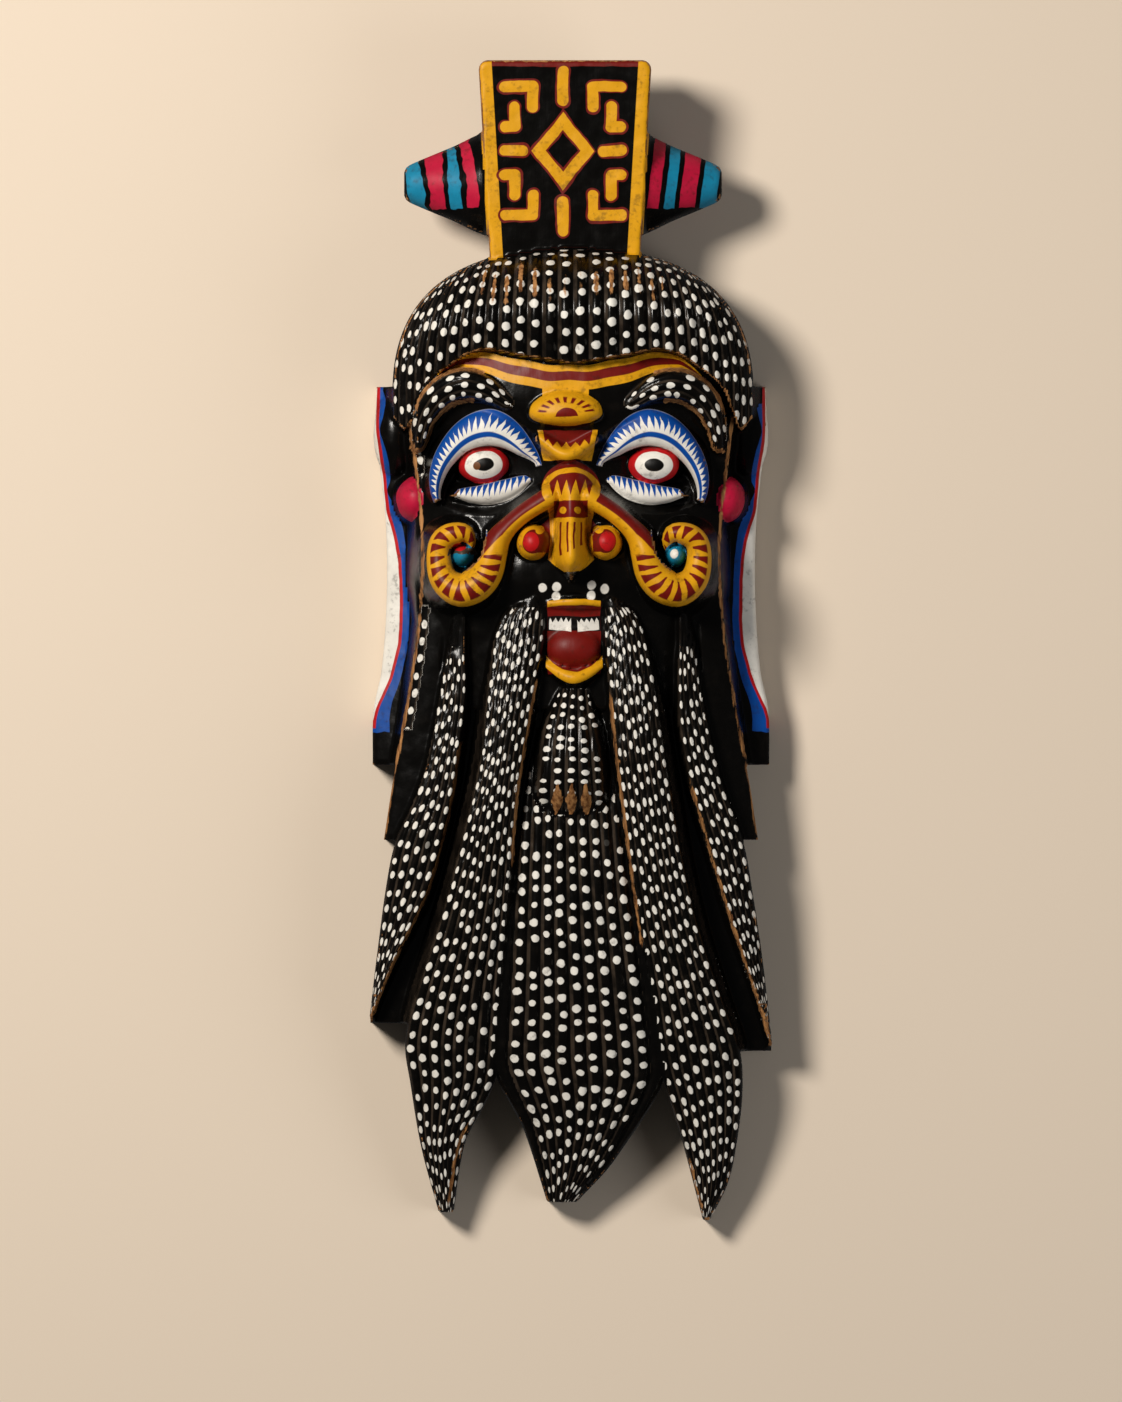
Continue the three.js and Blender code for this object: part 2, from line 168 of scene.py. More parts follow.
LONG_CREST = ((25, 74), (-40, 80), (-90, 77), (-140, 68), (-190, 56), (-240, 40), (-290, 22))
OUTER_CREST = ((24, 64), (2, 65), (-60, 64), (-120, 57), (-160, 48), (-202, 36))
LEFT_LONG = Lock(
    top=25, foot=-287, strands=8, ridge=0.55, drop=(7, 5), crest=through(*LONG_CREST),
    left=through((25, -20), (12, -35), (-20, -41), (-60, -45.5), (-100, -54.5), (-140, -65.5),
                 (-180, -78.5), (-202, -83), (-222, -80.5), (-255, -75), (-287, -66.5)),
    right=through((25, -12.5), (0, -13.5), (-30, -19), (-80, -27), (-130, -30.5), (-180, -34),
                  (-216, -37), (-232, -43), (-252, -53), (-287, -59)),
)
RIGHT_LONG = Lock(
    top=25, foot=-291, strands=8, ridge=0.45, drop=(5, 7), crest=through(*LONG_CREST),
    left=through((25, 13.5), (0, 16.5), (-60, 23), (-100, 28), (-140, 33.5), (-180, 39.5),
                 (-210, 43.5), (-232, 50), (-252, 56), (-290, 66)),
    right=through((25, 20.5), (12, 33.5), (-20, 41.5), (-60, 47.5), (-100, 54), (-140, 63),
                  (-180, 76), (-205, 84.5), (-225, 86), (-250, 83.5), (-272, 79), (-290, 70.5)),
)
LEFT_OUTER = Lock(
    top=24, foot=-189, strands=5, ridge=1, drop=(10, 0), crest=through(*OUTER_CREST), plain=26,
    left=through((24, -60), (2, -61), (-20, -65), (-60, -72), (-80, -78.5), (-100, -87.5), (-120, -92),
                 (-160, -97.5), (-189, -101)),
    right=through((24, -53), (0, -53), (-30, -52.5), (-60, -56.5), (-80, -59.5), (-120, -69.5),
                  (-140, -78), (-160, -88), (-189, -100)),
)
RIGHT_OUTER = Lock(
    top=24, foot=-202, strands=5, ridge=0, drop=(0, 10), crest=through(*OUTER_CREST), plain=26,
    left=through((24, 54.5), (2, 54), (-30, 53.5), (-50, 55.5), (-70, 59.5), (-100, 68),
                 (-140, 80), (-180, 93.5), (-202, 100)),
    right=through((24, 58.5), (2, 61.5), (-30, 66.5), (-70, 75.5), (-100, 86),
                  (-130, 91.5), (-160, 96), (-202, 101)),
)
MIDDLE = Lock(
    top=-18, foot=-282, strands=11, ridge=0.5, drop=(8, 8),
    left=through((-18, -18), (-70, -29), (-130, -34), (-180, -37.5), (-212, -39.5), (-222, -36),
                 (-232, -30.5), (-246, -23.5), (-282, -12)),
    right=through((-18, 20), (-70, 29), (-130, 36), (-180, 43.5), (-214, 47.5), (-224, 45),
                  (-240, 36), (-252, 28), (-266, 18), (-282, 3)),
    crest=through((-18, 62), (-80, 68), (-130, 67), (-180, 60), (-230, 46), (-282, 24)),
)
GOATEE = Lock(
    top=-22, foot=-92, strands=5, ridge=0.5, drop=(10, 10),
    left=through((-22, -7), (-35, -11), (-50, -15), (-92, -19)),
    right=through((-22, 10), (-35, 12.5), (-50, 15.5), (-92, 19.5)),
    crest=through((-22, 70), (-40, 79), (-62, 83), (-76, 79.5), (-92, 62)),
)

# Plain terraces beside and behind the locks: side panels, ear lappets and the wings under the outer locks.
PANEL = Lock(
    top=112, foot=-100, ridge=0, drop=(0, 4), groove=0,
    left=through((112, 58), (-100, 70)),
    right=through((112, 81), (70, 75.7), (45, 74), (20, 75), (-5, 77.5),
                  (-30, 81.5), (-70, 89), (-100, 93.7)),
    crest=through((112, 58), (60, 52), (0, 52), (-100, 43)),
)
LAPPET = Lock(
    top=127, foot=-62.5, ridge=0, drop=(0, 7), groove=0,
    left=through((127, 66), (-62.5, 66)),
    right=through((127, 97.5), (105, 98), (80, 95), (55, 92.7), (20, 92.5),
                  (-15, 95), (-35, 99), (-62.5, 99.5)),
    crest=through((127, 32), (-62.5, 32)),
)
WING_CREST = through((8, 57), (-60, 50), (-120, 42), (-206, 25))
WING_OVERLAP = 9
WING_INSET = 0.4
LEFT_WING = Lock(
    top=8, foot=-192, drop=(3, 3), groove=0, crest=WING_CREST,
    left=lambda y: LEFT_OUTER.left(y) + WING_INSET,
    right=lambda y: LEFT_LONG.left(y) + WING_OVERLAP,
)
RIGHT_WING = Lock(
    top=8, foot=-206, drop=(3, 3), groove=0, crest=WING_CREST,
    left=lambda y: RIGHT_LONG.right(y) - WING_OVERLAP,
    right=lambda y: RIGHT_OUTER.right(y) - WING_INSET,
)


@dataclass
class Knob:
    """An ellipsoid at its place."""

    x: float
    y: float
    z: float
    rx: float
    ry: float
    rz: float

    def form(self, x, y):
        away = np.hypot((x - self.x) / self.rx, (y - self.y) / self.ry)
        reach = (1 - away) * min(self.rx, self.ry)
        return Form(self.z + self.rz * rounded(away), reach)

    def on(self, side, axis=0.0):
        return replace(self, x=axis + side * self.x)


EYE = Knob(42.3, 87.5, 62, 13, 10, 12)
EAR = Knob(88, 103, 24, 11, 22, 15)
LOBE = Knob(77.5, 70.5, 41, 8.7, 10.5, 12)
NOSTRIL = Knob(18, 48.5, 78, 8, 8.7, 12)
PEARL = Knob(53, 42.3, 66, 5.6, 6, 14)
LOWER_LIP = Knob(1.5, -4, 66, 13.5, 10, 8)
HOLLOW = Knob(0, 62, 0, 70, 118, 62)
TROUGH = Knob(0, -88, 0, 52, 130, 50)

CROWN_AXIS, CROWN_TOP, CROWN_FOOT = -3.0, 289.2, 180.0
CROWN_HALF_TOP, CROWN_HALF_FOOT = 43.3, 36.9
CROWN_FRONT, CROWN_THICKNESS, CROWN_TILT, CROWN_CORNER = 63.0, 36.0, 0.06, 5.0
CROWN_STEEP = 10.0


def crown_board(x, y):
    """The upright board, wider at its top and leaning forward a little."""
    up = y - CROWN_FOOT
    half = between(CROWN_HALF_FOOT, CROWN_HALF_TOP, up / (CROWN_TOP - CROWN_FOOT))
    side = half - np.abs(x - CROWN_AXIS)
    over = CROWN_TOP - y
    corner = CROWN_CORNER - np.hypot(*(np.clip(CROWN_CORNER - d, 0, None) for d in (side, over)))
    nearest = np.minimum(side, over)
    reach = np.minimum(np.where(nearest < CROWN_CORNER, corner, nearest), up)
    front = CROWN_FRONT + math.tan(CROWN_TILT) * up
    return Form(front, reach, under=front - CROWN_THICKNESS, steep=CROWN_STEEP)


PIN_AXIS, PIN_Y, PIN_Z = -4.0, 228.5, 37.0
PIN_HALF_LENGTH = 79.5
PIN_RADIUS = through((0, 26.5), (36, 26.5), (56, 18.2), (75.5, 10), (78.5, 8), (79.5, 6))


def hairpin(x, y):
    """The spindle that passes behind the crown board."""
    along = np.abs(x - PIN_AXIS)
    radius = PIN_RADIUS(along)
    away = np.abs(y - PIN_Y)
    bulge = radius * rounded(away / radius)
    reach = np.minimum(radius - away, PIN_HALF_LENGTH - along)
    return Form(PIN_Z + bulge, reach, under=PIN_Z - bulge)


HAIR_AXIS, HAIR_SPRING, HAIR_HALF, HAIR_RISE = 1.0, 120.0, 90.5, 76.0
HAIR_FULLNESS, HAIR_RIM, HAIR_ROUNDNESS = 2.5, 40.0, 0.45
HAIR_RIDGES, HAIR_GROOVE, HAIR_SIDE = 30, 3.4, 0.93
HAIR_OVERHANG = 3.0
HAIRLINE = through((0, 137.5), (28, 142), (42, 144.5), (51, 143), (59, 138.5),
                   (75, 125), (83, 106), (90.5, 112))
HAIR_PROFILE = through((106, 84), (137, 92), (160, 100), (178, 95), (190, 82), (197, 64))


def hair_edge(y):
    up = np.clip((y - HAIR_SPRING) / HAIR_RISE, 0, 1)
    return HAIR_HALF * (1 - up**HAIR_FULLNESS) ** (1 / HAIR_FULLNESS)


def hair_height(across, y):
    swell = np.clip(1 - (across / np.maximum(hair_edge(y), TINY)) ** 2, 0, 1) ** HAIR_ROUNDNESS
    return between(HAIR_RIM, HAIR_PROFILE(y), swell), swell


def combed(strand, y):
    """Sideways place of a strand that starts at this share of the half-width, at height y."""
    return strand * between(HAIR_HALF, hair_edge(y), strand**2)


def strand_at(across, y):
    """The strand that passes through a place on the roll of hair, found by halving."""
    tight = np.clip(HAIR_HALF - hair_edge(y), TINY, None)
    low, high = np.zeros_like(across), np.minimum(1, np.sqrt(HAIR_HALF / (3 * tight)))
    for _ in range(STRAND_HALVINGS):
        middle = (low + high) / 2
        beyond = combed(middle, y) > across
        low, high = np.where(beyond, low, middle), np.where(beyond, middle, high)
    return (low + high) / 2


def combed_length(x, y, steps=60):
    """Distance over the roll along the strand that passes here, from a level below the hairline."""
    foot = 100.0
    strand = strand_at(np.abs(x - HAIR_AXIS), y)
    length = np.zeros_like(y)
    before = None
    for share in np.linspace(0, 1, steps):
        level = between(foot, y, share)
        across = combed(strand, level)
        here = np.array([across, level, hair_height(across, level)[0]])
        if before is not None:
            length += np.sqrt(((here - before) ** 2).sum(0))
        before = here
    return length


def hair_roll(x, y):
    """The roll of combed hair: each ridge climbs from the hairline over the roll."""
    across = np.abs(x - HAIR_AXIS)
    strand = strand_at(across, y)
    turn = np.arcsin(HAIR_SIDE * strand) / math.asin(HAIR_SIDE) * np.sign(x - HAIR_AXIS)
    lane = HAIR_RIDGES * (turn + 1) / 2
    height, swell = hair_height(across, y)
    cut = HAIR_GROOVE * from_crest(lane) ** 2 * np.clip(3 * swell, 0, 1)
    up = np.clip((y - HAIR_SPRING) / HAIR_RISE, 0, None)
    round_out = ((across / HAIR_HALF) ** HAIR_FULLNESS + up**HAIR_FULLNESS) ** (1 / HAIR_FULLNESS)
    reach = np.minimum((1 - round_out) * HAIR_RISE, HAIR_OVERHANG * (y - HAIRLINE(across)))
    return Form(height - cut, reach, lane=lane)


# The face behind its features, and the ridges that are carved on it


FACE_AXIS, FACE_TOP, FACE_FOOT, FACE_HALF = -1.0, 150.0, -34.0, 76.0
FACE_FALL, FACE_CURVE = 25.0, 2.4
FACE_HEIGHT = through((150, 80), (122, 83), (95, 76), (60, 75), (30, 77), (14, 70), (-10, 66), (-34, 64))
SOCKET_X, SOCKET_Y, SOCKET_RX, SOCKET_RY, SOCKET_DEPTH = 42.0, 87.0, 34.0, 25.0, 11.0
NOSE_TOP, NOSE_FOOT, NOSE_BASE = 88.0, 31.0, 66.0
NOSE_HALF = through((88, 9), (84, 12.5), (77, 14.5), (71, 11.5), (66, 10), (58, 9.3), (50, 9.3),
                    (43, 10.5), (38, 9.8), (34, 6), (31, 3))
NOSE_HEIGHT = through((88, 82), (83, 88), (77, 92), (70, 93), (62, 95), (50, 101),
                      (43, 103), (38, 102), (34, 96), (31, 88))


@dataclass
class Ridge:
    """A rounded ridge along a curve through (x, y, z) points, with a half-width and a height at each."""

    points: tuple
    half: tuple
    height: tuple

    def trace(self, x, y, pieces=60):
        """Distance left of the curve, distance along it, and its level, half-width and rise there."""
        corner = np.array(self.points, float)
        run = np.concatenate([[0], np.cumsum(np.hypot(*np.diff(corner[:, :2], axis=0).T))])
        length = np.linspace(0, run[-1], pieces + 1)
        line_x, line_y, level = (through(*zip(run, corner[:, k]))(length) for k in range(3))
        best = np.full(x.shape, np.inf)
        side, along = np.zeros_like(x), np.zeros_like(x)
        for i in range(pieces):
            dx, dy = line_x[i + 1] - line_x[i], line_y[i + 1] - line_y[i]
            off_x, off_y = x - line_x[i], y - line_y[i]
            t = np.clip((off_x * dx + off_y * dy) / (dx * dx + dy * dy), 0, 1)
            away = np.hypot(off_x - t * dx, off_y - t * dy)
            nearer = away < best
            best = np.where(nearer, away, best)
            side = np.where(nearer, np.sign(dx * off_y - dy * off_x), side)
            along = np.where(nearer, between(length[i], length[i + 1], t), along)
        half, rise_here = (through(*zip(run, values))(along) for values in (self.half, self.height))
        return best * side, along, np.interp(along, length, level), half, rise_here

    def form(self, x, y):
        away, _, level, half, rise_here = self.trace(x, y)
        return Form(level + rise_here * rounded(away / half), half - np.abs(away))


BROW = Ridge(
    ((76, 98, 62), (72.5, 111, 69), (64.5, 122, 75), (53.5, 127, 79), (42, 125, 80), (31, 118, 78)),
    (4, 5.5, 7, 7.5, 6.5, 4), (5, 6, 7.5, 8, 7, 5),
)
BEAST_LIP = Ridge(((-15, 100, 80), (-2, 92, 84), (11, 100, 80)), (3, 3.5, 3), (5, 6, 5))
UPPER_LIP = Ridge(((-12, 18, 70), (1.5, 19, 73), (15, 18, 70)), (2, 3, 2), (4, 5, 4))
CHIN_LIP = Ridge(((-12, -13, 64), (1.5, -19, 69), (15, -13, 64)), (3, 4, 3), (5, 6, 5))

# The trunk that runs from the nose bulb down the cheek and curls up into a scroll.
TRUNK = Ridge(
    ((10, 71, 84), (22.5, 63, 82), (30, 56.5, 81), (35, 50.5, 80), (38.2, 43, 80), (41.5, 33, 79),
     (47.3, 26.9, 79), (55, 25, 78), (62.5, 30.5, 76), (65, 41.5, 74), (63.5, 49, 75), (58.9, 52.5, 77),
     (52, 52.8, 77), (48.8, 49, 76.5), (48.7, 45.5, 76)),
    (5, 4.6, 4.9, 6, 7.4, 8.2, 8.6, 8.3, 7, 6, 5.8, 5.6, 4.8, 2.6, 1.2),
    (6, 7, 8, 9, 10, 10.5, 11, 10.5, 9, 7.5, 7.5, 7.5, 7, 4.5, 2),
)

# Painted and carved lids, as turns in degrees about a point in each eye, from the nose outward.
LID_X, LID_Y = 41.0, 80.0
LID_OUTER = through((17.5, 28.3), (43, 29.4), (83, 34.8), (100, 34), (143, 29.3), (200, 28.8))
LID_INNER = through((18.4, 25.3), (40, 19.5), (85, 17), (141, 17.4), (170, 20), (202, 24.9))
LID_LEVEL = through((17, 66), (60, 71), (100, 72), (143, 67), (200, 60))
LID_ENDS = (15.0, 203.0)
LID_RISE = 6.5
LOWER_LID_FOOT = through((19, 79), (23.5, 74), (29.5, 70), (39.5, 67.5), (49.5, 68.5), (56.5, 71))
LOWER_LID_TOP = through((19, 80.5), (22, 82), (32, 80), (44.5, 77), (55.5, 75), (57, 73))
LOWER_LID_ENDS = (19.0, 57.0)
LOWER_LID_LEVEL, LOWER_LID_RISE = 66.0, 5.5


def upper_lid(side, y):
    """Share across the upper lid from its inner to its outer edge, the turn round the eye, and its form."""
    turn = np.degrees(np.arctan2(y - LID_Y, LID_X - side))
    turn = np.where(turn < -90, turn + 360, turn)
    inner, width = LID_INNER(turn), LID_OUTER(turn) - LID_INNER(turn)
    share = (np.hypot(side - LID_X, y - LID_Y) - inner) / width
    ends = np.minimum(turn - LID_ENDS[0], LID_ENDS[1] - turn) / 2
    reach = np.minimum(np.minimum(share, 1 - share) * width, ends)
    return share, turn, Form(LID_LEVEL(turn) + LID_RISE * rounded(np.clip(2 * share - 1, -1, 1)), reach)


def lower_lid(side, y):
    """Share across the lower lid from its foot to its lashes, and its form."""
    foot, width = LOWER_LID_FOOT(side), LOWER_LID_TOP(side) - LOWER_LID_FOOT(side)
    share = (y - foot) / width
    ends = np.minimum(side - LOWER_LID_ENDS[0], LOWER_LID_ENDS[1] - side)
    reach = np.minimum(np.minimum(share, 1 - share) * width, ends)
    return share, Form(LOWER_LID_LEVEL + LOWER_LID_RISE * rounded(np.clip(2 * share - 1, -1, 1)), reach)


JEWEL_X, JEWEL_Y, JEWEL_Z, JEWEL_HALF = -2.75, 113.0, 82.0, 18.3
JEWEL_ABOVE, JEWEL_BELOW, JEWEL_RISE = 11.0, 6.5, 9.5


def jewel(x, y):
    """The bun-shaped jewel between the brows, flatter below than above."""
    height = np.where(y > JEWEL_Y, JEWEL_ABOVE, JEWEL_BELOW)
    away = np.hypot((x - JEWEL_X) / JEWEL_HALF, (y - JEWEL_Y) / height)
    return Form(JEWEL_Z + JEWEL_RISE * rounded(away), (1 - away) * height)


BROW_LANES, BROW_GROOVE = 3, 1.6
FILLET = 1.5


def brow_strands(side, y):
    """Lane of the brow's strands, the distance along it, and its share across, -1 on the outer edge."""
    away, along, _, half, _ = BROW.trace(side, y)
    share = away / half
    return BROW_LANES * np.clip((share + 1) / 2, 0, 1 - TINY), along, share


def face_surface(x, y):
    """The face with all that is carved on it."""
    across = x - FACE_AXIS
    plate = FACE_HEIGHT(y) - FACE_FALL * np.abs(np.clip(across / FACE_HALF, -1, 1)) ** FACE_CURVE
    out = ((np.abs(across) - SOCKET_X) / SOCKET_RX) ** 2 + ((y - SOCKET_Y) / SOCKET_RY) ** 2
    surface = plate - SOCKET_DEPTH * np.clip(1 - out, 0, 1)

    share = np.clip((across - 1) / NOSE_HALF(y), -1, 1)
    bridge = between(NOSE_BASE, NOSE_HEIGHT(y), np.clip(np.cos(share * math.pi / 2), 0, 1) ** 0.8)
    nose = Form(bridge, np.minimum.reduce([NOSE_HALF(y) - np.abs(across - 1), NOSE_TOP - y, y - NOSE_FOOT]))

    side = np.abs(across)
    forms = [BROW.form(side, y), upper_lid(side, y)[2], lower_lid(side, y)[1], EYE.form(side, y), nose]
    forms += [NOSTRIL.form(side, y), TRUNK.form(side, y), PEARL.form(side, y), jewel(x, y)]
    forms += [form.form(x, y) for form in (BEAST_LIP, UPPER_LIP, CHIN_LIP, LOWER_LIP)]
    brow_cut = BROW_GROOVE * from_crest(brow_strands(side, y)[0]) ** 3
    forms[0].top = forms[0].top - brow_cut
    for form in forms:
        surface = joined(surface, form.flanked(), FILLET)
    return surface


def face(x, y):
    reach = np.minimum.reduce([FACE_HALF - np.abs(x - FACE_AXIS), FACE_TOP - y, y - FACE_FOOT])
    return Form(face_surface(x, y), reach)


# The whole mask as one front and one back surface over its outline


FORMS = {
    "hair": hair_roll,
    "face": face,
    "left long": LEFT_LONG.form,
    "right long": RIGHT_LONG.form,
    "left outer": LEFT_OUTER.form,
    "right outer": RIGHT_OUTER.form,
    "middle": MIDDLE.form,
    "goatee": GOATEE.form,
    "left wing": LEFT_WING.form,
    "right wing": RIGHT_WING.form,
    "left panel": mirrored(PANEL).form,
    "right panel": PANEL.form,
    "left lappet": mirrored(LAPPET).form,
    "right lappet": LAPPET.form,
    "left ear": EAR.on(-1).form,
    "right ear": EAR.form,
    "left lobe": LOBE.on(-1).form,
    "right lobe": LOBE.form,
    "crown": crown_board,
    "hairpin": hairpin,
}
NAMES = list(FORMS)
THINNEST, LEAST_WOOD = 5.0, 0.2
ROUNDED_EDGE = 2.0
# Height, width and seed of the humps that the carver's tools left.
TOOL_MARKS = ((0.25, 9, 1), (0.12, 3.5, 2))


def outline(x, y):
    """How far inside the outline of the mask a place is, seen from the front."""
    return np.maximum.reduce([form(x, y).reach for form in FORMS.values()])


def carving(x, y):
    """Height of the front, the form that lies in front there, and all the forms."""
    forms = [form(x, y) for form in FORMS.values()]
    tops = np.array([form.flanked() for form in forms])
    inside = np.maximum.reduce([form.reach for form in forms])
    edge = ROUNDED_EDGE * (1 - rounded(1 - np.clip(inside / ROUNDED_EDGE, 0, 1)))
    return tops.max(0) - edge, tops.argmax(0), forms


def relief(x, y):
    """Front and back heights of the mask, with the form in front and its strands."""
    front, owner, forms = carving(x, y)
    lane = np.array([np.broadcast_to(form.lane, x.shape) for form in forms])[owner, np.arange(x.size)]
    for height, width, seed in TOOL_MARKS:
        front = front + height * unevenness(x, y, width, seed)
    under = np.min([form.under + STEEP * np.clip(-form.reach, 0, None) for form in forms], axis=0)
    carved_out = np.maximum.reduce([knob.form(x, y).flanked() for knob in (HOLLOW, TROUGH)])
    back = np.maximum(under, np.minimum(carved_out, front - THINNEST))
    return np.maximum(front, back + LEAST_WOOD), back, owner, lane


# Building the mesh


COLUMN = 1.0
ROWS = ((-291.6, 20, 1.5), (20, 150, 1.0), (150, 289.8, 1.3))
WALL_ROWS, FIRST_DROP = 5, 0.03
BACK_SPACING = 3.2
BACK_MARGIN = 3.0
BACK_HALF_WIDTH, BACK_HALF_HEIGHT = 100, 290
FRONT_HALF_WIDTH = 101.5
EDGE_HALVINGS, STRAND_HALVINGS = 12, 26


def grid_lines():
    xs = np.arange(-FRONT_HALF_WIDTH, FRONT_HALF_WIDTH + COLUMN / 10, COLUMN)
    spans = [np.linspace(low, high, round((high - low) / step), endpoint=False) for low, high, step in ROWS]
    return xs, np.append(np.concatenate(spans), ROWS[-1][1])


def crossings(near, far):
    """Places where the outline runs between pairs of points, one of each on the mask, found by halving."""
    near, far = np.where(outline(*near) > 0, (near, far), (far, near))
    for _ in range(EDGE_HALVINGS):
        middle = (near + far) / 2
        near, far = np.where(outline(*middle) > 0, (middle, far), (near, middle))
    return (near + far) / 2


def front_plan():
    """Vertices and faces of the front seen as a flat plan, and the directed edges round its outline."""
    grid = np.array(np.meshgrid(*grid_lines()))
    inside = outline(*grid.reshape(2, -1)).reshape(grid.shape[1:]) > 0
    across = inside[:, 1:] != inside[:, :-1]
    upward = inside[1:] != inside[:-1]
    places = [
        grid[:, inside],
        crossings(grid[:, :, :-1][:, across], grid[:, :, 1:][:, across]),
        crossings(grid[:, :-1][:, upward], grid[:, 1:][:, upward]),
    ]
    number = []
    first = 0
    for found in (inside, across, upward):
        index = np.full(found.shape, -1)
        index[found] = np.arange(first, first + found.sum())
        first += found.sum()
        number.append(index)
    corner, on_row, on_column = number

    whole = inside[:-1, :-1] & inside[:-1, 1:] & inside[1:, :-1] & inside[1:, 1:]
    some = inside[:-1, :-1] | inside[:-1, 1:] | inside[1:, :-1] | inside[1:, 1:]
    square = [corner[:-1, :-1], corner[:-1, 1:], corner[1:, 1:], corner[1:, :-1]]
    faces = np.stack([s[whole] for s in square], axis=1).tolist()
    rim = []
    on_outline = inside.sum()
    for r, c in zip(*np.nonzero(some & ~whole)):
        ring = (
            corner[r, c], on_row[r, c], corner[r, c + 1], on_column[r, c + 1],
            corner[r + 1, c + 1], on_row[r + 1, c], corner[r + 1, c], on_column[r, c],
        )
        polygon = [int(v) for v in ring if v >= 0]
        faces.append(polygon)
        rim += [(a, b) for a, b in zip(polygon, polygon[1:] + polygon[:1]) if min(a, b) >= on_outline]
    return np.concatenate(places, axis=1), faces, rim


def back_plan(plan, rim):
    """Triangles of the back as a flat plan, over the outline's own points and a wide grid inside it."""
    ring = sorted({v for edge in rim for v in edge})
    place = {v: i for i, v in enumerate(ring)}
    columns = np.arange(-BACK_HALF_WIDTH, BACK_HALF_WIDTH + 1, BACK_SPACING)
    rows = np.arange(-BACK_HALF_HEIGHT, BACK_HALF_HEIGHT, BACK_SPACING)
    grid = np.array(np.meshgrid(columns, rows)).reshape(2, -1)
    extra = grid[:, outline(*grid) > BACK_MARGIN]
    points = [Vector(p) for p in np.concatenate([plan[:, ring], extra], axis=1).T]
    edges = [(place[a], place[b]) for a, b in rim]
    made = delaunay_2d_cdt(points, edges, [], 1, TINY)
    source = [origins[0] if origins else None for origins in made[3]]
    triangles = [[source[v] for v in triangle] for triangle in made[2]]
    return ring, extra, triangles


def build_mask():
    """The front, side walls and hollowed back, and the front vertex whose paint each point takes."""
    plan, faces, rim = front_plan()
    front, under, owner, lane = relief(*plan)
    count = plan.shape[1]
    ring, extra, triangles = back_plan(plan, rim)
    below = {v: i for i, v in enumerate(ring)}

    drops = np.append(FIRST_DROP, np.linspace(0, 1, WALL_ROWS)[1:])
    levels = [between(front[ring], under[ring], share) for share in drops]
    walls = [np.stack([*plan[:, ring], level], axis=1) for level in levels]
    _, inner_level, inner_owner, _ = relief(*extra)
    inner = np.stack([*extra, inner_level], axis=1)
    points = np.concatenate([np.stack([*plan, front], axis=1), *walls, inner])

    def wall(v, step):
        return v if step == 0 else count + (step - 1) * len(ring) + below[v]

    wall_faces = [
        [wall(b, step), wall(a, step), wall(a, step + 1), wall(b, step + 1)]
        for a, b in rim for step in range(WALL_ROWS)
    ]
    foot = count + (WALL_ROWS - 1) * len(ring)
    back_faces = [[foot + v for v in reversed(triangle)] for triangle in triangles]
    above = np.concatenate([np.arange(count), np.tile(ring, WALL_ROWS)])
    return points, faces, wall_faces, back_faces, owner, lane, above, inner_owner


# Materials. A Flow is a value inside a material: Python's arithmetic on it adds the matching nodes.


class Flow:
    def __init__(self, paint, socket):
        self.paint = paint
        self.socket = socket

    def sum(self, operation, *values):
        return self.paint.node("Math", {"operation": operation}, dict(enumerate(values)))

    def __add__(self, other):
        return self.sum("ADD", self, other)

    def __sub__(self, other):
        return self.sum("SUBTRACT", self, other)

    def __mul__(self, other):
        return self.sum("MULTIPLY", self, other)

    def __truediv__(self, other):
        return self.sum("DIVIDE", self, other)

    def __radd__(self, other):
        return self.sum("ADD", other, self)

    def __rsub__(self, other):
        return self.sum("SUBTRACT", other, self)

    def __rmul__(self, other):
        return self.sum("MULTIPLY", other, self)

    def __rtruediv__(self, other):
        return self.sum("DIVIDE", other, self)

    def __pow__(self, other):
        return self.sum("POWER", self, other)

    def __neg__(self):
        return self.sum("MULTIPLY", self, -1)

    def __abs__(self):
        return self.sum("ABSOLUTE", self)

    def __and__(self, other):
        """Both of two covers, or the lesser of two distances inside."""
        return self.sum("MINIMUM", self, other)

    def __or__(self, other):
        """Either of two covers, or the greater of two distances inside."""
        return self.sum("MAXIMUM", self, other)

    def floor(self):
        return self.sum("FLOOR", self)

    def fraction(self):
        return self.sum("FRACT", self)

    def root(self):
        return self.sum("SQRT", self)

    def over(self, level=0.0, soft=0.3):
        """1 where the value is above a level and 0 below it, with a soft edge this wide."""
        sockets = {0: self, 1: level - soft / 2, 2: level + soft / 2, 3: 0.0, 4: 1.0}
        return self.paint.node("MapRange", {"interpolation_type": "SMOOTHSTEP"}, sockets)

    def spikes(self):
        """A saw of points: 1 on whole numbers and a half, 0 on whole numbers."""
        return 1 - abs(2 * self.fraction() - 1)


